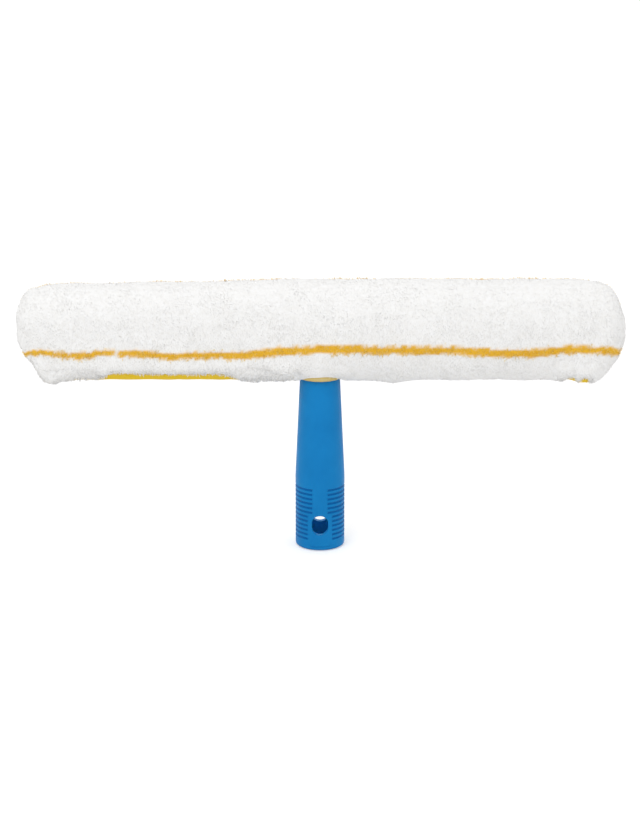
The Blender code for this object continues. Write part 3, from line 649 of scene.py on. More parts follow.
TOP_STRIPE_ARC = 0.0926
TOP_STRIPE_WANDER = (0.0008, 0.02, 4.0, 2.0)
TOP_STRIPE_DIPS = (-0.155, -0.086, -0.039, 0.023, 0.093, 0.123)
TOP_STRIPE_DIP_DEPTH = 0.0019
TOP_STRIPE_DIP_REACH = 0.010
THREAD_WAVE_SCALE = 0.314
KNIT_THREADS = (("X", 700.0), ("Z", 520.0))
# PILE_SHADE and STRIPE_DEEP are also the tufts' darker root tones: painted shade deep in the pile.
PILE_WHITE = (246, 246, 246)
PILE_SHADE = (241, 240, 238)
STRIPE_DEEP = (234, 182, 54)
KNIT_WHITE = (232, 229, 222)


def sleeve_points(x, degrees, inset):
    """Places on the sleeve's form: along X, an angle from straight down, and pulled in by inset."""
    share = np.clip(x / SLEEVE_HALF_LENGTH, -1.0, 1.0)
    table = SLEEVE_STATION_SHARES
    top, under, depth = (
        sum(np.interp(share + step, table[:, 0], table[:, column]) for step in FORM_BLEND) / len(FORM_BLEND)
        for column in (1, 2, 3)
    )
    back, down = np.sin(np.radians(degrees)), np.cos(np.radians(degrees))
    half_depth = depth * SLEEVE_HALF_DEPTH - inset
    half_height = np.where(down > 0, under, top) * SLEEVE_HALF_HEIGHT - inset
    y = half_depth * np.sign(back) * np.abs(back) ** SLEEVE_ROUNDNESS_SHARE
    z = SLEEVE_CENTRE_HEIGHT - half_height * np.sign(down) * np.abs(down) ** SLEEVE_ROUNDNESS_SHARE
    return np.stack(np.broadcast_arrays(x, y, z), axis=-1)


def travelled(grid):
    """How far each point of a grid is along its row."""
    steps = np.linalg.norm(np.diff(grid, axis=1), axis=-1)
    return np.concatenate([np.zeros((len(grid), 1)), np.cumsum(steps, axis=1)], axis=1)


def between(value, low, high, soft):
    """1 from low to high, and 0 beyond a soft edge outside them."""
    return ramp(value, low - soft, low) * (1 - ramp(value, high, high + soft))


def in_patch(span, angles):
    """1 on the grid inside a strip's recess on the underside, 0 outside it, with a soft edge."""
    along = between(grid_x, span[0] - RECESS_MARGIN, span[1] + RECESS_MARGIN, RECESS_SOFT)
    first, last = angles[0] - RECESS_MARGIN_ANGLE, angles[1] + RECESS_MARGIN_ANGLE
    return along * between(grid_degrees, first, last, RECESS_SOFT_ANGLE)


def field_noise(points, size, seed):
    """Smooth noise between -1 and 1 at each point, with features of a size."""
    shift = Vector((seed * 17.3, seed * 5.1, seed * 9.7))
    values = [noise.noise(Vector(point) / size + shift) for point in points.reshape(-1, 3)]
    return np.array(values).reshape(points.shape[:-1])


def line_noise(places, height, size, *seed):
    """Smooth noise of a height along a line, with features of a size."""
    return height * np.array([noise.noise(Vector((place / size, *seed))) for place in places])


def station_at(place):
    """The grid's station nearest to a place along X."""
    return int(np.argmin(np.abs(mat_x - place)))


mat_x = np.linspace(-SLEEVE_HALF_LENGTH, SLEEVE_HALF_LENGTH, MAT_STATIONS)
mat_turn = (np.arange(MAT_TURNS) + 0.5) * 360 / MAT_TURNS
grid_x, grid_turn = np.meshgrid(mat_x, mat_turn, indexing="ij")
grid_degrees = np.where(grid_turn > 180, 360 - grid_turn, -grid_turn)
form = sleeve_points(grid_x, grid_degrees, 0.0)
grid_arc = travelled(form)
lumps = LUMP_HEIGHT * field_noise(form, LUMP_SIZE, 1) + CURL_HEIGHT * field_noise(form, CURL_SIZE, 2)
for place, turn_place, reach, height in BULGES:
    arc_place = np.interp(turn_place, mat_turn, grid_arc[station_at(place)])
    far = np.hypot(grid_x - place, grid_arc - arc_place) / reach
    lumps += height * np.exp(-2 * far**2)
for start, stop, edge_turn, height in BRIMS:
    edge_arc = np.array([np.interp(edge_turn, mat_turn, row) for row in grid_arc])[:, None]
    near_edge = 1 - ramp(np.abs(grid_arc - edge_arc), BRIM_CREST, BRIM_REACH)
    lumps += height * between(grid_x, start, stop, BRIM_SOFT) * near_edge
in_flap = in_patch(FLAP_SPAN, (FLAP_ANGLES[0], HINGE_BINDING_ANGLES[1]))
in_ends = np.maximum(in_patch(LEFT_TAPE_SPAN, END_TAPE_ANGLES), in_patch(RIGHT_TAPE_SPAN, END_TAPE_ANGLES))
in_tapes = np.maximum(in_patch(SEAM_TAPE_SPAN, SEAM_TAPE_ANGLES), in_ends)
mat_inset = MAT_INSET - lumps
mat_inset += (TAPE_BED_INSET - mat_inset) * in_tapes
mat_inset += (FLAP_RECESS_INSET - mat_inset) * in_flap
mat_grid = sleeve_points(grid_x, grid_degrees, mat_inset)
end_share = ramp(np.abs(grid_x) / SLEEVE_HALF_LENGTH, END_ROUNDING_START, 1.0)
mat_grid[..., 0] -= np.sign(grid_x) * np.where(grid_x < 0, *END_INSETS) * end_share


def dome(ring, side):
    """Rings that close one end of the sleeve in a low dome."""
    centre = ring.mean(axis=0)
    return [centre + (ring - centre) * share + (side * rise, 0.0, 0.0) for share, rise in END_DOME]


def on_all_rows(values):
    """A grid of values with the end domes' rows added."""
    first, last = (np.repeat(values[row : row + 1], len(END_DOME), axis=0) for row in (0, MAT_STATIONS - 1))
    return np.concatenate([first, values, last]).reshape(-1, *values.shape[2:])


mat_points = np.concatenate([*dome(mat_grid[0], -1)[::-1], *mat_grid, *dome(mat_grid[-1], 1)])
mat_faces = ring_faces(MAT_STATIONS + 2 * len(END_DOME), MAT_TURNS, capped=True)
mat_mesh = outward(mesh_of("pile_bed", mat_points, mat_faces), merge=False)

front_half = MAT_TURNS // 2
front_arc = np.array(
    [
        np.interp(height, row[:front_half, 2], arc[:front_half])
        for height, row, arc in zip(np.interp(mat_x, *np.array(FRONT_STRIPE_HEIGHTS).T), form, grid_arc)
    ]
)
girth_share = grid_arc[:, -1] / grid_arc[:, -1].max()
wander = sum(line_noise(mat_x, *values) for values in STRIPE_WANDER)
top_arc = TOP_STRIPE_ARC + line_noise(mat_x, *TOP_STRIPE_WANDER)
for dip in TOP_STRIPE_DIPS:
    top_arc -= TOP_STRIPE_DIP_DEPTH * np.exp(-(((mat_x - dip) / TOP_STRIPE_DIP_REACH) ** 2))
stripe_half = np.interp(mat_x, *np.array(STRIPE_HALF_WIDTHS).T) + line_noise(mat_x, *STRIPE_RAGGED)
stripe_grids = {}
for name, arc in (
    ("front", front_arc + wander),
    ("top", top_arc * girth_share),
    ("back", (TOP_STRIPE_ARC + STRIPE_PITCH) * girth_share - wander),
):
    past_edge = (np.abs(grid_arc - arc[:, None]) - stripe_half[:, None]) / STRIPE_SOFT
    stripe_grids[name] = (1 - ramp(past_edge, -1.0, 1.0)) * (1 - ramp(np.abs(grid_x), *STRIPE_END))
break_place = STRIPE_BREAK_PLACE + STRIPE_BREAK_SLANT * (grid_arc - front_arc[:, None])
in_break = np.exp(-(((grid_x - break_place) / STRIPE_BREAK_HALF_WIDTH) ** 2))
stripe_grids["front"] *= 1 - STRIPE_BREAK_DEPTH * in_break
in_stripes = np.maximum.reduce(list(stripe_grids.values()))


def crossed_threads(tree, place, counts, distortion=0.0):
    """Two rows of threads that cross, from each one's direction and its threads per metre."""
    waves = []
    for direction, count in counts:
        inputs = {"Vector": place, "Scale": THREAD_WAVE_SCALE * count, "Distortion": distortion}
        waves.append(add_node(tree, "ShaderNodeTexWave", inputs, bands_direction=direction).outputs["Fac"])
    return math_of(tree, "MULTIPLY", *waves)


bed_finish, tree, shader = new_finish("pile_bed_fibre", 0.95, 0.1)
tone = two_tones(tree, place_noise(tree, 420.0, 3.0, 0.6), 0.3, 0.7, PILE_SHADE, PILE_WHITE)
tone = mixed(tree, carried(tree, "stripe"), tone, linear(STRIPE_DEEP))
dress(tree, shader, tone, place_noise(tree, 1500.0, 3.0, 0.7, (1.0, 1.0, 0.35)), 0.5, 0.0005)

knit_finish, tree, shader = new_finish("knitted_back", 0.9, 0.15)
place = add_node(tree, "ShaderNodeTexCoord").outputs["Object"]
knit = crossed_threads(tree, place, KNIT_THREADS, 0.4)
dress(tree, shader, two_tones(tree, knit, 0.0, 0.6, PILE_SHADE, KNIT_WHITE), knit, 0.6, 0.0003)

sleeve = put_in("sleeve_fabric", mat_mesh.copy())
cut_low, cut_high = SLEEVE_BOTTOM - CUT_OVERRUN, CAVITY_LOW[2] + RECESS_MARGIN
neck_cut = turned_stack("neck_cut", [(NECK_OPENING_RADIUS, height) for height in (cut_low, cut_high)], 48)
slit_low, slit_high = (SLIT_START, -SLIT_HALF_WIDTH, cut_low), (0.0, SLIT_HALF_WIDTH, cut_high)
slit_cut = rounded_block("slit_cut", slit_low, slit_high, SLIT_HALF_WIDTH * 0.8, 2)
cavity_cut = rounded_block("cavity_cut", CAVITY_LOW, CAVITY_HIGH, CAVITY_CORNER, 1)
carve(sleeve, [cavity_cut, neck_cut, slit_cut], bed_finish, knit_finish)
nearest = kdtree.KDTree(len(mat_points))
for index, point in enumerate(mat_points):
    nearest.insert(point, index)
nearest.balance()
shorn_rows = on_all_rows(in_flap)
cavity_box = list(zip(CAVITY_LOW, CAVITY_HIGH))
for face in sleeve.data.polygons:
    x, y, z = face.center
    in_cavity = all(
        low - WALL_MARGIN < own < high + WALL_MARGIN for own, (low, high) in zip(face.center, cavity_box)
    )
    in_cut = abs(y) < SLIT_HALF_WIDTH + WALL_MARGIN or math.hypot(x, y) < NECK_OPENING_RADIUS + WALL_MARGIN
    cut_wall = z < CAVITY_LOW[2] and abs(face.normal.z) < 0.5 and in_cut
    shorn = shorn_rows[nearest.find(face.center)[1]] > 0.5
    face.material_index = int(in_cavity or cut_wall or shorn)
stripe_rows = on_all_rows(in_stripes)
carry(sleeve.data, "stripe", [stripe_rows[nearest.find(vert.co)[1]] for vert in sleeve.data.vertices])
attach(sleeve, "washer")
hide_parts("plush_sleeve")


# Pile
# The loose ends of tufts of crimped polyester, knitted into the back all over the sleeve and matted
# in use. They lean every way and droop a little, and hang over the edges of the flap and end tapes.
TUFT_HALF_WIDTH = 0.08
TUFT_THICKNESS = 0.05
TUFT_BACK_SHARE = 0.35
TUFT_ROWS = ((0.0, 0.8, 0.0), (0.55, 1.0, 0.1))
TUFT_TIP_DROP = 0.02
TUFT_LENGTH_SPREAD = (0.78, 1.2)
TUFT_WIDTH_SPREAD = (0.8, 1.35)
TUFT_LENGTH = 0.0013
TUFT_LENGTH_SWAY = 0.18
TUFT_LENGTH_SWAY_SIZE = 0.011
TUFT_SPACING = 0.00045
TUFT_DENSITY = 2600000.0
TUFT_ROOT_DEPTH = 0.0004
RISE = 0.42
LEAN = 0.35
LEAN_SIZE = 0.010
JITTER = 0.36
GRAVITY_DROOP = 0.3
NECK_DROOP = 1.6
NECK_DROOP_REACH = (0.001, 0.005)
NECK_DROOP_BELOW = 0.012
NECK_BARE_REACH = (0.0002, 0.0010)
PARTING_SHARPNESS = 1.6
FRINGE_ROOT = 0.0065
FRINGE_THICKNESS = 0.0009
FRINGE_EDGE = 0.0003
FRINGE_CLEARANCE = 0.0002
FRINGE_BURIED = 0.0012
FRINGE_FADE = 0.0050
FRINGE_OVERRUN = 0.0020
FRINGE_PITCH = 0.0007
FRINGE_STEPS = 18
FRINGE_COMB = 0.6
FRINGE_RAGGED = 0.0007
FRINGE_RAGGED_SIZE = 0.0022
FRINGE_ROUGH = 0.0004
FRINGE_ROUGH_SIZE = 0.004
FRINGE_SKIN = 0.0002
FRINGE_BED = 0.0006
FRINGE_END_SHARE = 0.35
FRINGE_SURFACING = (-0.9 * FRINGE_ROOT, -0.35 * FRINGE_ROOT)
FRINGE_CLEARING = (-0.5 * FRINGE_ROOT, FRINGE_BED)
FRINGE_THICKNESS_SWAY = 0.3
FRINGE_RISE = 1.2 * RISE
FRINGE_JITTER = 0.6 * JITTER
FRINGE_TIP_LENGTH = 2.0
LEFT_FRINGE = (
    (-0.1650, 0.0076), (-0.1500, 0.0078), (-0.1485, 0.0100), (-0.1440, 0.0096), (-0.1415, 0.0064),
    (-0.1290, 0.0060), (-0.1255, 0.0036), (-0.1225, 0.0004), (-0.1190, -0.0018), (-0.1100, -0.0016),
    (-0.1060, 0.0000), (-0.0850, 0.0006), (-0.0570, 0.0004), (-0.0520, 0.0022), (-0.0480, 0.0062),
    (-0.0450, 0.0098), (-0.0400, 0.0108), (-0.0230, 0.0104), (-0.0165, 0.0080), (-0.0120, 0.0050),
)
RIGHT_FRINGE = (
    (0.1370, 0.0090), (0.1425, 0.0070), (0.1440, 0.0020), (0.1475, 0.0014), (0.1492, 0.0046),
    (0.1505, 0.0046), (0.1518, -0.0004), (0.1550, -0.0008), (0.1568, 0.0065), (0.1580, 0.0090),
)
FRINGE_SOFTEN = (-0.0007, -0.00035, 0.0, 0.00035, 0.0007)
LOBE_PLACE = -0.1545
LOBE_REACH = 0.0065
LOBE_HEIGHT = 0.0024
PILE_PARTS = (
    ("left", -1.0, -0.0887), ("mid_left", -0.0887, 0.0), ("mid_right", 0.0, 0.0887), ("right", 0.0887, 1.0)
)
PILE_FLECK = (245, 242, 237)


def pile_finish(name, tip_colour, root_painted_shade, fleck_colour):
    """Matt polyester pile with a tone of its own in each tuft, lighter at the tip and darker towards the
    root as painted shade deep in the pile.
    """
    material, tree, shader = new_finish(name, 0.92, 0.1)
    along = two_tones(tree, carried(tree, "tip"), 0.0, 0.75, root_painted_shade, tip_colour)
    own = mapped(tree, carried(tree, "tone"), 0.55, 1.0)
    dress(tree, shader, mixed(tree, own, along, linear(fleck_colour)))
    shader.inputs["Sheen Weight"].default_value = 0.15
    shader.inputs["Sheen Roughness"].default_value = 0.6
    return material


def tuft_mesh():
    """One lock of pile, 1 long: flat, closed, with a rounded outer face, and arched over along Z."""
    points = []
    for height, share, arch in TUFT_ROWS:
        for side in (-1, 1):
            points.append((side * TUFT_HALF_WIDTH * share, arch - TUFT_THICKNESS * TUFT_BACK_SHARE, height))
        points.append((0.0, arch + TUFT_THICKNESS * share, height))
    points.append((0.0, -TUFT_TIP_DROP, 1.0))
    made = outward(mesh_of("tuft", points, [(0, 1, 2), (3, 4, 6), (4, 5, 6), (5, 3, 6), *ring_faces(2, 3)]))
    made.shade_smooth()
    carry(made, "tip", [vert.co.z for vert in made.vertices])
    return made


def new_tree(name, **inputs):
    """A geometry node tree that puts a pattern on a mesh, with named inputs of the kinds given."""
    tree = bpy.data.node_groups.new(name, "GeometryNodeTree")
    tree.interface.new_socket("Geometry", in_out="OUTPUT", socket_type="NodeSocketGeometry")
    for key, kind in {"mesh": "Geometry", "pattern": "Object", "finish": "Material", **inputs}.items():
        tree.interface.new_socket(key, in_out="INPUT", socket_type=f"NodeSocket{kind}")
    return tree, tree.nodes.new("NodeGroupInput").outputs


def named(tree, name, kind="FLOAT"):
    """What the mesh carries under a name."""
    return add_node(tree, "GeometryNodeInputNamedAttribute", {"Name": name}, data_type=kind).outputs[0]


def vector_of(tree, operation, *values):
    """The result of an operation on vectors or outputs."""
    return add_node(tree, "ShaderNodeVectorMath", dict(enumerate(values)), operation=operation).outputs[0]


def random_of(tree, low, high, seed):
    """A random number for each point or copy."""
    inputs = {2: low, 3: high, "Seed": seed}
    return add_node(tree, "FunctionNodeRandomValue", inputs, data_type="FLOAT").outputs[1]


def pointing(tree, vector):
    """A rotation that turns Z along a vector."""
    return add_node(tree, "FunctionNodeAlignRotationToVector", {"Vector": vector}, axis="Z").outputs[0]


def scattered(tree, given, share, density):
    """Evenly spaced points on a mesh, as dense as a share that it carries."""
    inputs = {"Mesh": given["mesh"], "Distance Min": given["spacing"], "Density Max": density}
    inputs.update({"Density Factor": named(tree, share), "Seed": given["seed"]})
    return add_node(tree, "GeometryNodeDistributePointsOnFaces", inputs, distribute_method="POISSON").outputs


def place_copies(tree, given, points, rotation, scale=(1.0, 1.0, 1.0)):
    """Put a copy of the pattern at each point, with a tone of its own, and end the tree with them."""
    shape = add_node(tree, "GeometryNodeObjectInfo", {"Object": given["pattern"]}).outputs["Geometry"]
    inputs = {"Points": points, "Instance": shape, "Rotation": rotation, "Scale": scale}
    copies = add_node(tree, "GeometryNodeInstanceOnPoints", inputs).outputs[0]
    inputs = {"Geometry": copies, "Name": "tone", "Value": random_of(tree, 0.0, 1.0, 11)}
    toned = add_node(tree, "GeometryNodeStoreNamedAttribute", inputs, data_type="FLOAT", domain="INSTANCE")
    real = add_node(tree, "GeometryNodeRealizeInstances", {"Geometry": toned.outputs[0]}).outputs[0]
    painted = add_node(tree, "GeometryNodeSetMaterial", {"Geometry": real, "Material": given["finish"]})
    add_node(tree, "NodeGroupOutput", {0: painted.outputs[0]})
    return tree


def pile_tree():
    """Geometry nodes that plant tufts over a surface by its pile_share, pile_length and pile_comb."""
    kinds = dict.fromkeys(("spacing", "density", "rise", "lean", "jitter"), "Float")
    tree, given = new_tree("plant_pile", **kinds, seed="Int")
    spots = scattered(tree, given, "pile_share", given["density"])
    side = spots["Normal"]
    place = add_node(tree, "GeometryNodeInputPosition").outputs[0]
    inputs = {"Vector": place, "Scale": 1 / LEAN_SIZE, "Detail": 1.5}
    swirl = add_node(tree, "ShaderNodeTexNoise", inputs).outputs["Color"]
    centred = vector_of(tree, "SUBTRACT", swirl, (0.5, 0.5, 0.5))
    level = vector_of(tree, "SUBTRACT", centred, vector_of(tree, "PROJECT", centred, side))
    level = vector_of(tree, "NORMALIZE", level)
    inputs = {0: (-1.0, -1.0, -1.0), 1: (1.0, 1.0, 1.0), "Seed": given["seed"]}
    shake = add_node(tree, "FunctionNodeRandomValue", inputs, data_type="FLOAT_VECTOR").outputs[0]
    way = vector_of(tree, "MULTIPLY", side, given["rise"])
    for part, amount in ((level, given["lean"]), (shake, given["jitter"])):
        way = vector_of(tree, "ADD", way, vector_of(tree, "MULTIPLY", part, amount))
    way = vector_of(tree, "ADD", way, named(tree, "pile_comb", "FLOAT_VECTOR"))
    inputs = {"Rotation": pointing(tree, way), "Vector": side}
    turned = add_node(tree, "FunctionNodeAlignRotationToVector", inputs, axis="Y", pivot_axis="Z").outputs[0]
    size = math_of(tree, "MULTIPLY", named(tree, "pile_length"), random_of(tree, *TUFT_LENGTH_SPREAD, 5))
    width = math_of(tree, "MULTIPLY", size, random_of(tree, *TUFT_WIDTH_SPREAD, 7))
    scale = add_node(tree, "ShaderNodeCombineXYZ", {"X": width, "Y": width, "Z": size}).outputs[0]
    sink = vector_of(tree, "MULTIPLY", side, (-TUFT_ROOT_DEPTH,) * 3)
    sunk = add_node(tree, "GeometryNodeSetPosition", {"Geometry": spots["Points"], "Offset": sink})
    return place_copies(tree, given, sunk.outputs[0], turned, scale)


def run_tree(name, base, tree, **values):
    """Run a geometry node tree on a mesh and keep the result as a plain mesh in a new object."""
    made = put_in(name, base)
    modifier = made.modifiers.new(tree.name, "NODES")
    modifier.node_group = tree
    for item in tree.interface.items_tree:
        if item.name in values:
            modifier[item.identifier] = values[item.name]
    graph = bpy.context.evaluated_depsgraph_get()
    result = bpy.data.meshes.new_from_object(made.evaluated_get(graph))
    made.modifiers.clear()
    made.data = finished(result, values["finish"])
    result.polygons.foreach_set("material_index", np.zeros(len(result.polygons), dtype=np.int32))
    return made


def growing(base, share, length, comb):
    """A mesh that carries where, how long and which way its pile grows."""
    carry(base, "pile_share", share)
    carry(base, "pile_length", length)
    carry(base, "pile_comb", comb, "FLOAT_VECTOR")
    return base


def there_and_back(grid, other):
    """Rows that go along one grid and back along another, as one list."""
    return np.concatenate([grid, other[:, ::-1]], axis=1).reshape(-1, *grid.shape[2:])


def edge_fringe(span, edge_angle, table):
    """Outer and inner rows of matted pile that hangs over the front edge of a strip underneath."""
    table = np.array(table)
    first, last = span[0] - FRINGE_FADE, span[1] + FRINGE_FADE
    places = np.linspace(first, last, int((last - first) / FRINGE_PITCH))
    amount = between(places, *span, FRINGE_FADE)
    rough = line_noise(places, 1.0, FRINGE_ROUGH_SIZE, edge_angle, 0.0)
    ragged = line_noise(places, 1.0, FRINGE_RAGGED_SIZE, edge_angle, 4.0)
    reach = np.mean([np.interp(places + step, table[:, 0], table[:, 1]) for step in FRINGE_SOFTEN], axis=0)
    reach *= FRINGE_END_SHARE + (1 - FRINGE_END_SHARE) * amount
    reach += FRINGE_RAGGED * ragged + FRINGE_ROUGH * rough
    lobe = LOBE_HEIGHT * np.exp(-(((places - LOBE_PLACE) / LOBE_REACH) ** 2))
    outer, inner = [], []
    for share in np.linspace(0.0, 1.0, FRINGE_STEPS):
        past = FRINGE_ROOT - share * (FRINGE_ROOT + reach)
        over = ramp(-past, *FRINGE_SURFACING) * amount
        thick = FRINGE_EDGE + (FRINGE_THICKNESS - FRINGE_EDGE) * (1 - share**3)
        proud = FRINGE_CLEARANCE + thick * (1 + FRINGE_THICKNESS_SWAY * rough) + lobe * (1 - share**4)
        degrees, bed = [], []
        for x, own in zip(places, past):
            station = station_at(x)
            row = grid_arc[station]
            start = np.interp(RECESS_MARGIN_ANGLE - edge_angle, mat_turn, row)
            degrees.append(-np.interp(start + own, row, mat_turn))
            bed.append(MAT_INSET - np.interp(start + max(own, 0.0), row, lumps[station]))
        degrees, bed = np.array(degrees), np.array(bed)
        clear = ramp(-past, *FRINGE_CLEARING)
        face = (bed - FRINGE_SKIN) * (1 - clear) - proud * clear
        buried = bed + FRINGE_BURIED
        outer.append(sleeve_points(places, degrees, buried + over * (face - buried)))
        under = buried + FRINGE_BED + over * (-FRINGE_CLEARANCE - buried - FRINGE_BED)
        inner.append(sleeve_points(places, degrees, np.maximum(under, face + FRINGE_SKIN)))
    return np.stack(outer, axis=1), np.stack(inner, axis=1)


fringe_points, fringe_faces, fringe_growth = [], [], []
toward_tip = np.linspace(0.0, 1.0, FRINGE_STEPS) ** 2
tip_length = TUFT_LENGTH * (1 + (FRINGE_TIP_LENGTH - 1) * np.concatenate([toward_tip, toward_tip[::-1]]))
for outer, inner in (
    edge_fringe((LEFT_TAPE_SPAN[0], FLAP_SPAN[1] + FRINGE_OVERRUN), FLAP_ANGLES[0], LEFT_FRINGE),
    edge_fringe(RIGHT_TAPE_SPAN, END_TAPE_ANGLES[0], RIGHT_FRINGE),
):
    rows, start = len(outer), sum(len(part) for part in fringe_points)
    faces = ring_faces(rows, 2 * FRINGE_STEPS, capped=True)
    fringe_faces += [tuple(start + corner for corner in face) for face in faces]
    fringe_points.append(there_and_back(outer, inner))
    comb = np.gradient(outer, axis=1)
    comb /= np.maximum(np.linalg.norm(comb, axis=-1, keepdims=True), 1e-9)
    shown = np.zeros((rows, 2 * FRINGE_STEPS))
    shown[:, 2:FRINGE_STEPS] = 1.0
    comb = FRINGE_COMB * there_and_back(comb, comb)
    fringe_growth.append((shown.ravel(), np.tile(tip_length, rows), comb))
fringe_mesh = outward(mesh_of("pile_fringe", np.concatenate(fringe_points), fringe_faces))
fringe = put_in("pile_fringe", finished(fringe_mesh.copy(), bed_finish))
shade_smooth(fringe.data)
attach(fringe, "washer")
tuft = bpy.data.objects.new("tuft", tuft_mesh())
plant_pile = pile_tree()
# The white tufts are darker towards the root: painted shade deep in the pile.
white_pile = pile_finish("white_pile", PILE_WHITE, PILE_SHADE, PILE_FLECK)
white_tufts = {"finish": white_pile, "spacing": TUFT_SPACING, "density": TUFT_DENSITY, "lean": LEAN}


def plant(name, base, **values):
    """Plant tufts on a mesh as one more piece of the sleeve's pile."""
    planted = run_tree(name, base, plant_pile, pattern=tuft, **values)
    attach(planted, "washer")


fringe_base = growing(fringe_mesh, *(np.concatenate(parts) for parts in zip(*fringe_growth)))
plant("pile_fringe_tufts", fringe_base, rise=FRINGE_RISE, jitter=FRINGE_JITTER, seed=6, **white_tufts)
neck_far = np.hypot(form[..., 0], form[..., 1]) - NECK_OPENING_RADIUS
neck_bare = (1 - ramp(neck_far, *NECK_BARE_REACH)) * (form[..., 2] < SLEEVE_CENTRE_HEIGHT)
grows = (1 - np.clip(np.maximum(in_flap, in_tapes) * PARTING_SHARPNESS, 0, 1)) * (1 - neck_bare)
length_grid = TUFT_LENGTH * (1 + TUFT_LENGTH_SWAY * field_noise(form, TUFT_LENGTH_SWAY_SIZE, 5))
by_neck = (1 - ramp(neck_far, *NECK_DROOP_REACH)) * (form[..., 2] < SLEEVE_CENTRE_HEIGHT - NECK_DROOP_BELOW)
comb_grid = np.zeros_like(form)
comb_grid[..., 2] -= GRAVITY_DROOP + NECK_DROOP * by_neck


def sleeve_base(name, share, longer=1.0):
    """A copy of the fabric's outer face on which a share of the pile grows."""
    base = mat_mesh.copy()
    base.name = name
    return growing(base, *map(on_all_rows, (grows * share, longer * length_grid, comb_grid)))


for side_name, facing in (("front", grid_turn < 180), ("back", grid_turn >= 180)):
    for place_name, start, end in PILE_PARTS:
        name = f"pile_{side_name}_{place_name}"
        region = facing & (grid_x >= start) & (grid_x < end)
        base = sleeve_base(name, region * (1 - in_stripes))
        plant(name, base, rise=RISE, jitter=JITTER, seed=4, **white_tufts)


# Stripes
# Three rows of mustard pile, knitted in with the white at an even pitch round the sleeve. The front
# one runs below the middle, and the next lies just behind the top edge.
STRIPE_TUFT_SPACING = 0.0005
STRIPE_TUFT_DENSITY = 3000000.0
STRIPE_TUFT_LENGTHENING = 1.4
STRIPE_LEAN = 0.6 * LEAN
STRIPE_JITTER = 1.4 * JITTER
STRIPE_MUSTARD = (250, 212, 84)
STRIPE_FLECK = (252, 226, 136)

# The stripe's tufts are darker towards the root: painted shade deep in the pile.
mustard_pile = pile_finish("mustard_pile", STRIPE_MUSTARD, STRIPE_DEEP, STRIPE_FLECK)
for stripe_name, stripe in stripe_grids.items():
    plant(
        f"pile_stripe_{stripe_name}",
        sleeve_base(f"pile_stripe_{stripe_name}", stripe, STRIPE_TUFT_LENGTHENING),
        finish=mustard_pile,
        spacing=STRIPE_TUFT_SPACING,
        density=STRIPE_TUFT_DENSITY,
        rise=RISE,
        lean=STRIPE_LEAN,
        jitter=STRIPE_JITTER,
        seed=9,
    )
bpy.data.objects.remove(tuft, do_unlink=True)


# Neck binding
# A pale yellow tape folded over the neck opening's raw edge and sewn round it, open at the slit.
# It sags a little at the front, where its lower fold shows above the handle.
BINDING_INNER_RADIUS = 0.0124
BINDING_OUTER_RADIUS = 0.0146
BINDING_BOTTOM = 0.1042
BINDING_SHOULDER = 0.1077
BINDING_TOP = 0.1096
BINDING_TAPE_THICKNESS = 0.0007
BINDING_SAG = 0.0003
BINDING_RIPPLE = 0.00012
BINDING_RIPPLES_ROUND = 19
BINDING_GAP_ANGLE = 17.0
BINDING_STEPS = 96
BINDING_PROFILE_STEP = 0.0008
FOLD_ANGLES = [math.radians(180 + 22.5 * step) for step in range(9)]
TAPE_PALE = (208, 194, 160)
TAPE_PALE_SHADE = (206, 180, 100)


def woven_tape(name, colour, shade, thread=0.0005):
    """Smooth woven polyester tape, its threads along and across the piece's UV map in metres."""
    material, tree, shader = new_finish(name, 0.7, 0.1)
    place = add_node(tree, "ShaderNodeUVMap", uv_map="weave").outputs[0]
    weave = crossed_threads(tree, place, (("X", 1 / thread), ("Y", 1 / (0.8 * thread))))
    tone = math_of(tree, "MULTIPLY_ADD", weave, place_noise(tree, 120.0, 3.0), 0.35)
    dress(tree, shader, two_tones(tree, tone, 0.3, 0.8, shade, colour), weave, 0.5, 0.00012)
    return material


def set_weave(made, along, across):
    """Write a UV map in metres from two values for each point."""
    layer = made.uv_layers.new(name="weave")
    for loop in made.loops:
        layer.data[loop.index].uv = (along[loop.vertex_index], across[loop.vertex_index])


half = (BINDING_OUTER_RADIUS - BINDING_INNER_RADIUS) / 2
within = half - BINDING_TAPE_THICKNESS
outer_fold, inner_fold = (
    [(own * math.cos(angle), BINDING_BOTTOM + half + own * math.sin(angle)) for angle in FOLD_ANGLES]
    for own in (half, within)
)
binding_profile = [*outer_fold, (half, BINDING_SHOULDER), (half, BINDING_TOP)]
binding_profile += [(within, BINDING_TOP), (within, BINDING_SHOULDER), *inner_fold[::-1]]
binding_profile += [(-within, BINDING_SHOULDER), (-within, BINDING_TOP)]
binding_profile += [(-half, BINDING_TOP), (-half, BINDING_SHOULDER)]
middle = (BINDING_INNER_RADIUS + BINDING_OUTER_RADIUS) / 2
binding_points, binding_along, binding_across = [], [], []
for step in range(BINDING_STEPS + 1):
    degrees = 270 + BINDING_GAP_ANGLE + (360 - 2 * BINDING_GAP_ANGLE) * step / BINDING_STEPS
    angle = math.radians(degrees)
    ripple = BINDING_RIPPLE * math.sin(angle * BINDING_RIPPLES_ROUND)
    sag = BINDING_SAG * max(0.0, -math.cos(angle)) ** 2
    for index, (out, height) in enumerate(binding_profile):
        lower = 1 - (height - BINDING_BOTTOM) / (BINDING_TOP - BINDING_BOTTOM)
        radius = middle + out + ripple * lower
        binding_points.append((radius * math.sin(angle), radius * math.cos(angle), height - sag * lower))
        binding_along.append(middle * angle)
        binding_across.append(BINDING_PROFILE_STEP * index)
binding_faces = ring_faces(BINDING_STEPS + 1, len(binding_profile), capped=True)
binding_mesh = mesh_of("neck_tape", binding_points, binding_faces)
set_weave(binding_mesh, binding_along, binding_across)
shade_smooth(outward(binding_mesh, merge=False))
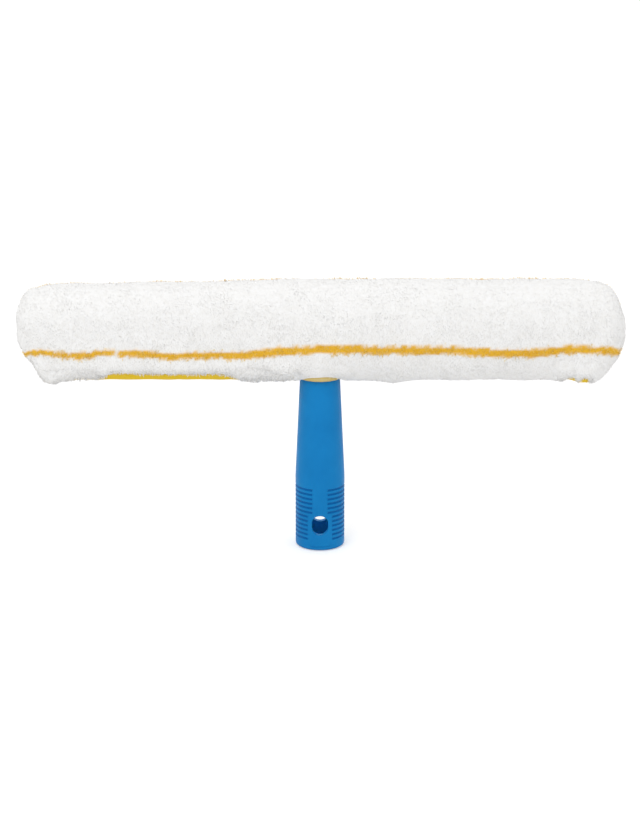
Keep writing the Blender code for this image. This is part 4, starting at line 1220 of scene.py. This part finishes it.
neck_finish = woven_tape("pale_woven_tape", TAPE_PALE, TAPE_PALE_SHADE)
neck_tape = put_in("neck_tape", finished(binding_mesh, neck_finish))
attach(neck_tape, "washer")
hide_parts("neck_binding")


# Hinge binding, seam tape and end tapes
# Woven tapes sewn flat to the sleeve's underside: one carries the flap's back edge, one covers the
# seam under the right half, and one crosses each end.
TAPE_STEP = 0.0014
TAPE_COLUMNS = 22
TAPE_EASE_SHARE = 0.3
TAPE_EASE_REACH = 0.03
TAPE_WAVE_SIZE = 0.012
HEM_PLACE = 0.045
HEM_HALF_WIDTHS = (0.02, 0.05)
TAPE_YELLOW = (243, 208, 52)
TAPE_SHADE = (225, 188, 40)


def strip(name, span, angles, inset, thickness, finish, wave=0.0, hem=0.0, bend=None):
    """A tape that follows the sleeve's underside, closed and of even thickness, with eased edges."""
    along = max(12, int((span[1] - span[0]) / TAPE_STEP))
    around = np.linspace(*angles, TAPE_COLUMNS + 1)
    if bend:
        before, through = around[around < bend[0]], np.linspace(*bend, TAPE_COLUMNS // 2)
        around = np.concatenate([before, through, angles[1:]])
    grid_a, grid_b = np.meshgrid(np.linspace(*span, along + 1), around, indexing="ij")
    rest = sleeve_points(grid_a, grid_b, inset)
    ripple = wave * np.abs(field_noise(rest, TAPE_WAVE_SIZE, 8))
    from_front = (grid_b - angles[0]) / (angles[1] - angles[0])
    near_edge = 1 - ramp(np.minimum(from_front, 1 - from_front), 0.0, TAPE_EASE_REACH)
    ease = TAPE_EASE_SHARE * thickness * near_edge
    bead = hem * (1 - ramp(np.abs(from_front - HEM_PLACE), *HEM_HALF_WIDTHS))
    outer = sleeve_points(grid_a, grid_b, inset - ripple - bead + ease)
    inner = sleeve_points(grid_a, grid_b, inset - ripple + thickness - ease)
    arc = travelled(rest)
    count = 2 * len(around)
    faces = ring_faces(along + 1, count)
    for base in (0, along * count):
        for near in range(base, base + len(around) - 1):
            far = 2 * base + count - 1 - near
            faces.append((near, near + 1, far - 1, far))
    made = mesh_of(name, there_and_back(outer, inner), faces)
    set_weave(made, there_and_back(grid_a, grid_a), there_and_back(arc, arc))
    shade_smooth(outward(made, merge=False))
    width = float(arc[:, -1].mean()) + thickness
    return put_in(name, finished(made, finish)), (round(width, 4), round(span[1] - span[0], 4))


tape_finish = woven_tape("yellow_woven_tape", TAPE_YELLOW, TAPE_SHADE)
for name, node, span, angles, inset, thickness in (
    ("hinge_tape", "hinge_binding", FLAP_SPAN, HINGE_BINDING_ANGLES, 0.0015, 0.0021),
    ("seam_cover_tape", "seam_tape", SEAM_TAPE_SPAN, SEAM_TAPE_ANGLES, 0.0003, 0.001),
    ("left_cross_tape", "left_end_tape", LEFT_TAPE_SPAN, END_TAPE_ANGLES, 0.0003, 0.001),
    ("right_cross_tape", "right_end_tape", RIGHT_TAPE_SPAN, END_TAPE_ANGLES, 0.0003, 0.001),
):
    tape, cut = strip(name, span, angles, inset, thickness, tape_finish)
    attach(tape, "washer")
    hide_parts(node)


# Loop tape
# A napped nylon tape sewn along the front side of the slit, under the flap. Its small loops catch
# the hooks.
CLOSURE_TAPE_SPAN = (-0.1465, -0.0185)
CLOSURE_TAPE_ANGLES = (-43.0, -13.0)
LOOP_TAPE_INSET = 0.0027
CLOSURE_TAPE_THICKNESS = 0.0009
CLOSURE_THREAD = 0.0006
WIRE_DENSITY = 3000000.0
LOOP_WIRE_SHARE = 0.09
NAP_HEIGHT = 0.0007
NAP_SPACING = 0.00105
LOOP_BASE = (208, 176, 66)
LOOP_BASE_SHADE = (180, 148, 46)
LOOP_NYLON = (214, 184, 78)
LOOP_NYLON_SHADE = (190, 158, 56)


def bent_wire(name, centre_line, tube):
    """A thin three-sided wire along a short line, closed at both ends."""
    points = []
    for index, (x, z) in enumerate(centre_line):
        before = centre_line[max(index - 1, 0)]
        after = centre_line[min(index + 1, len(centre_line) - 1)]
        slant = math.atan2(after[1] - before[1], after[0] - before[0])
        for angle in (math.tau * corner / 3 for corner in range(3)):
            out = tube * math.cos(angle)
            points.append((x - out * math.sin(slant), tube * math.sin(angle), z + out * math.cos(slant)))
    made = outward(mesh_of(name, points, ring_faces(len(centre_line), 3, capped=True)))
    made.shade_smooth()
    return made


def wire_tree():
    """Geometry nodes that stand small wires on the marked faces of a tape."""
    tree, given = new_tree("stand_wires", spacing="Float", height="Float", spin="Float", seed="Int")
    spots = scattered(tree, given, "wire_share", WIRE_DENSITY)
    inputs = {"Axis": (0.0, 0.0, 1.0), "Angle": random_of(tree, 0.0, given["spin"], 2)}
    spun = add_node(tree, "FunctionNodeAxisAngleToRotation", inputs).outputs[0]
    inputs = {"Rotation": pointing(tree, spots["Normal"]), "Rotate By": spun}
    turned = add_node(tree, "FunctionNodeRotateRotation", inputs, rotation_space="LOCAL").outputs[0]
    return place_copies(tree, given, spots["Points"], turned, given["height"])


def plain_finish(name, colour, shade, roughness):
    """A plain nylon finish with a faint mottle."""
    material, tree, shader = new_finish(name, roughness, 0.35)
    dress(tree, shader, two_tones(tree, place_noise(tree, 500.0, 2.0), 0.3, 0.7, shade, colour))
    return material


def stand_wires(name, tape, facing, line, tube, **values):
    """Small wires all over one side of a tape: 1 is its outer side, -1 its inner."""
    base = tape.data.copy()
    marks = []
    for face in base.polygons:
        away = Vector((0.0, face.center.y, face.center.z - SLEEVE_CENTRE_HEIGHT)).normalized()
        marks.append(face.normal.dot(away) * facing > 0.6)
    carry(base, "wire_share", marks, domain="FACE")
    wire = bpy.data.objects.new("wire", bent_wire("wire", line, tube))
    made = run_tree(name, base, wires, pattern=wire, **values)
    bpy.data.objects.remove(wire, do_unlink=True)
    return made


wires = wire_tree()
loop_finish = woven_tape("napped_loop_tape", LOOP_BASE, LOOP_BASE_SHADE, CLOSURE_THREAD)
loop_tape, loop_cut = strip(
    "loop_pile_tape",
    CLOSURE_TAPE_SPAN,
    CLOSURE_TAPE_ANGLES,
    LOOP_TAPE_INSET,
    CLOSURE_TAPE_THICKNESS,
    loop_finish,
)
nap = stand_wires(
    "loop_nap",
    loop_tape,
    1,
    [(0.5 * math.cos(math.pi * step / 5), math.sin(math.pi * step / 5)) for step in range(6)],
    LOOP_WIRE_SHARE,
    finish=plain_finish("loop_nylon", LOOP_NYLON, LOOP_NYLON_SHADE, 0.7),
    spacing=NAP_SPACING,
    height=NAP_HEIGHT,
    spin=math.tau,
    seed=6,
)
for piece in (loop_tape, nap):
    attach(piece, "washer")
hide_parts("loop_tape")


# Closure flap
# A smooth woven tape flap, hemmed along its front edge. Its back edge is sewn to the hinge binding,
# and it has closer rows beside that seam. It closes the slit so that the sleeve can't ride off the
# bar, and its lower face shows below the pile.
FLAP_SEWN_ANGLE = 36.8
FLAP_BEND = (29.5, 34.5)
FLAP_THICKNESS = 0.0012
FLAP_WAVE = 0.0004
FLAP_HEM = 0.00025

flap_angles = (FLAP_ANGLES[0], FLAP_SEWN_ANGLE)
flap, flap_cut = strip(
    "flap_tape", FLAP_SPAN, flap_angles, 0.0, FLAP_THICKNESS, tape_finish, FLAP_WAVE, FLAP_HEM, FLAP_BEND
)
bend_end, bend_start = (
    [float(own) for own in sleeve_points(sum(FLAP_SPAN) / 2, degrees, FLAP_THICKNESS / 2)]
    for degrees in FLAP_BEND
)
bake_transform(flap)
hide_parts("closure_flap")


# Hook tape
# A stiff nylon tape on the flap's inner face, with rows of small hooks that grip the loop tape.
HOOK_TAPE_INSET = 0.0015
HOOK_WIRE_SHARE = 0.10
HOOK_HEIGHT = 0.0009
HOOK_SPACING = 0.0011
HOOK_SPIN = 0.6
HOOK_LINE = ((0.0, -0.1), (0.0, 0.4), (0.08, 0.75), (0.3, 0.95), (0.5, 0.82), (0.52, 0.6))
HOOK_BASE = (204, 172, 62)
HOOK_BASE_SHADE = (178, 146, 44)
HOOK_NYLON = (222, 192, 86)
HOOK_NYLON_SHADE = (200, 168, 62)

hook_finish = woven_tape("hook_tape_base", HOOK_BASE, HOOK_BASE_SHADE, CLOSURE_THREAD)
hook_tape, hook_cut = strip(
    "hook_base_tape",
    CLOSURE_TAPE_SPAN,
    CLOSURE_TAPE_ANGLES,
    HOOK_TAPE_INSET,
    CLOSURE_TAPE_THICKNESS,
    hook_finish,
)
hooks = stand_wires(
    "hook_rows",
    hook_tape,
    -1,
    HOOK_LINE,
    HOOK_WIRE_SHARE,
    finish=plain_finish("hook_nylon", HOOK_NYLON, HOOK_NYLON_SHADE, 0.4),
    spacing=HOOK_SPACING,
    height=HOOK_HEIGHT,
    spin=HOOK_SPIN,
    seed=8,
)
for piece in (hook_tape, hooks):
    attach(piece, "flap")
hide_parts("hook_tape")


# Stitches
# Yellow polyester thread in lockstitch rows that hold each tape to what it lies on.
STITCH_PITCH = 0.0030
STITCH_LENGTH = 0.0022
STITCH_RADIUS = 0.00021
STITCH_ROWS = ((-0.5, 0.35), (-0.4, 0.85), (0.0, 1.0), (0.4, 0.85), (0.5, 0.35))
STITCH_MARGIN = 0.0016
STITCH_MARGIN_ANGLE = 3.0
FLAP_STITCH_MARGINS = (0.0022, 5.0)
FLAP_SEAM_ROWS = ((17.0, 0.0014), (35.8, -0.0001))
FLAP_BEND_ROW = (22.0, -0.0002)
NECK_ROW_OFFSET = 0.00005
NECK_ROW_HEIGHT = 0.1074
ROW_POINTS = 90
CROSS_ROW_POINTS = 40
THREAD_YELLOW = (238, 208, 96)


def stitch_tree():
    """Geometry nodes that lay stitches at an even pitch along lines."""
    tree, given = new_tree("sew_rows", pitch="Float")
    line = add_node(tree, "GeometryNodeMeshToCurve", {"Mesh": given["mesh"]}).outputs[0]
    inputs = {"Curve": line, "Length": given["pitch"]}
    spots = add_node(tree, "GeometryNodeCurveToPoints", inputs, mode="LENGTH").outputs
    return place_copies(tree, given, spots["Points"], pointing(tree, spots["Tangent"]))


def box_rows(span, angles, inset, margin=STITCH_MARGIN, margin_angle=STITCH_MARGIN_ANGLE):
    """Four rows, a margin inside a tape's edges."""
    span = (span[0] + margin, span[1] - margin)
    angles = (angles[0] + margin_angle, angles[1] - margin_angle)
    rows = [sleeve_points(np.linspace(*span, ROW_POINTS), degrees, inset) for degrees in angles]
    return rows + [sleeve_points(place, np.linspace(*angles, CROSS_ROW_POINTS), inset) for place in span]


def lines_mesh(name, lines):
    """A mesh of open lines."""
    points, edges = [], []
    for line in lines:
        edges += [(index, index + 1) for index in range(len(points), len(points) + len(line) - 1)]
        points += list(line)
    return mesh_of(name, points, [], edges)


turn_margin = BINDING_GAP_ANGLE + STITCH_MARGIN_ANGLE
turns = np.radians(np.linspace(270 + turn_margin, 630 - turn_margin, ROW_POINTS))
reach = BINDING_OUTER_RADIUS + NECK_ROW_OFFSET
along_flap = np.linspace(*FLAP_SPAN, ROW_POINTS)
washer_lines = [
    np.stack([reach * np.sin(turns), reach * np.cos(turns), np.full_like(turns, NECK_ROW_HEIGHT)], axis=-1),
    *box_rows(SEAM_TAPE_SPAN, SEAM_TAPE_ANGLES, 0.0002),
    *box_rows(LEFT_TAPE_SPAN, END_TAPE_ANGLES, 0.0002),
    *box_rows(RIGHT_TAPE_SPAN, END_TAPE_ANGLES, 0.0002),
    *box_rows(CLOSURE_TAPE_SPAN, CLOSURE_TAPE_ANGLES, 0.0026),
    *(sleeve_points(along_flap, *row) for row in FLAP_SEAM_ROWS),
]
flap_lines = [
    *box_rows(FLAP_SPAN, FLAP_ANGLES, -0.0002, *FLAP_STITCH_MARGINS),
    sleeve_points(along_flap, *FLAP_BEND_ROW),
    *box_rows(CLOSURE_TAPE_SPAN, CLOSURE_TAPE_ANGLES, 0.0025),
]
thread_finish = plain_finish("yellow_thread", THREAD_YELLOW, TAPE_YELLOW, 0.55)
stitch_profile = [(STITCH_RADIUS * radius, STITCH_LENGTH * share) for share, radius in STITCH_ROWS]
stitch = bpy.data.objects.new("stitch", turned_stack("stitch", stitch_profile, 6))
stitch.data.shade_smooth()
sew_rows = stitch_tree()
for name, body, lines in (
    ("sleeve_stitches", "washer", washer_lines),
    ("flap_stitches", "flap", flap_lines),
):
    base = lines_mesh(name, lines)
    sewn = run_tree(name, base, sew_rows, pattern=stitch, finish=thread_finish, pitch=STITCH_PITCH)
    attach(sewn, body)
bpy.data.objects.remove(stitch, do_unlink=True)


bpy.context.scene.view_settings.view_transform = "Standard"
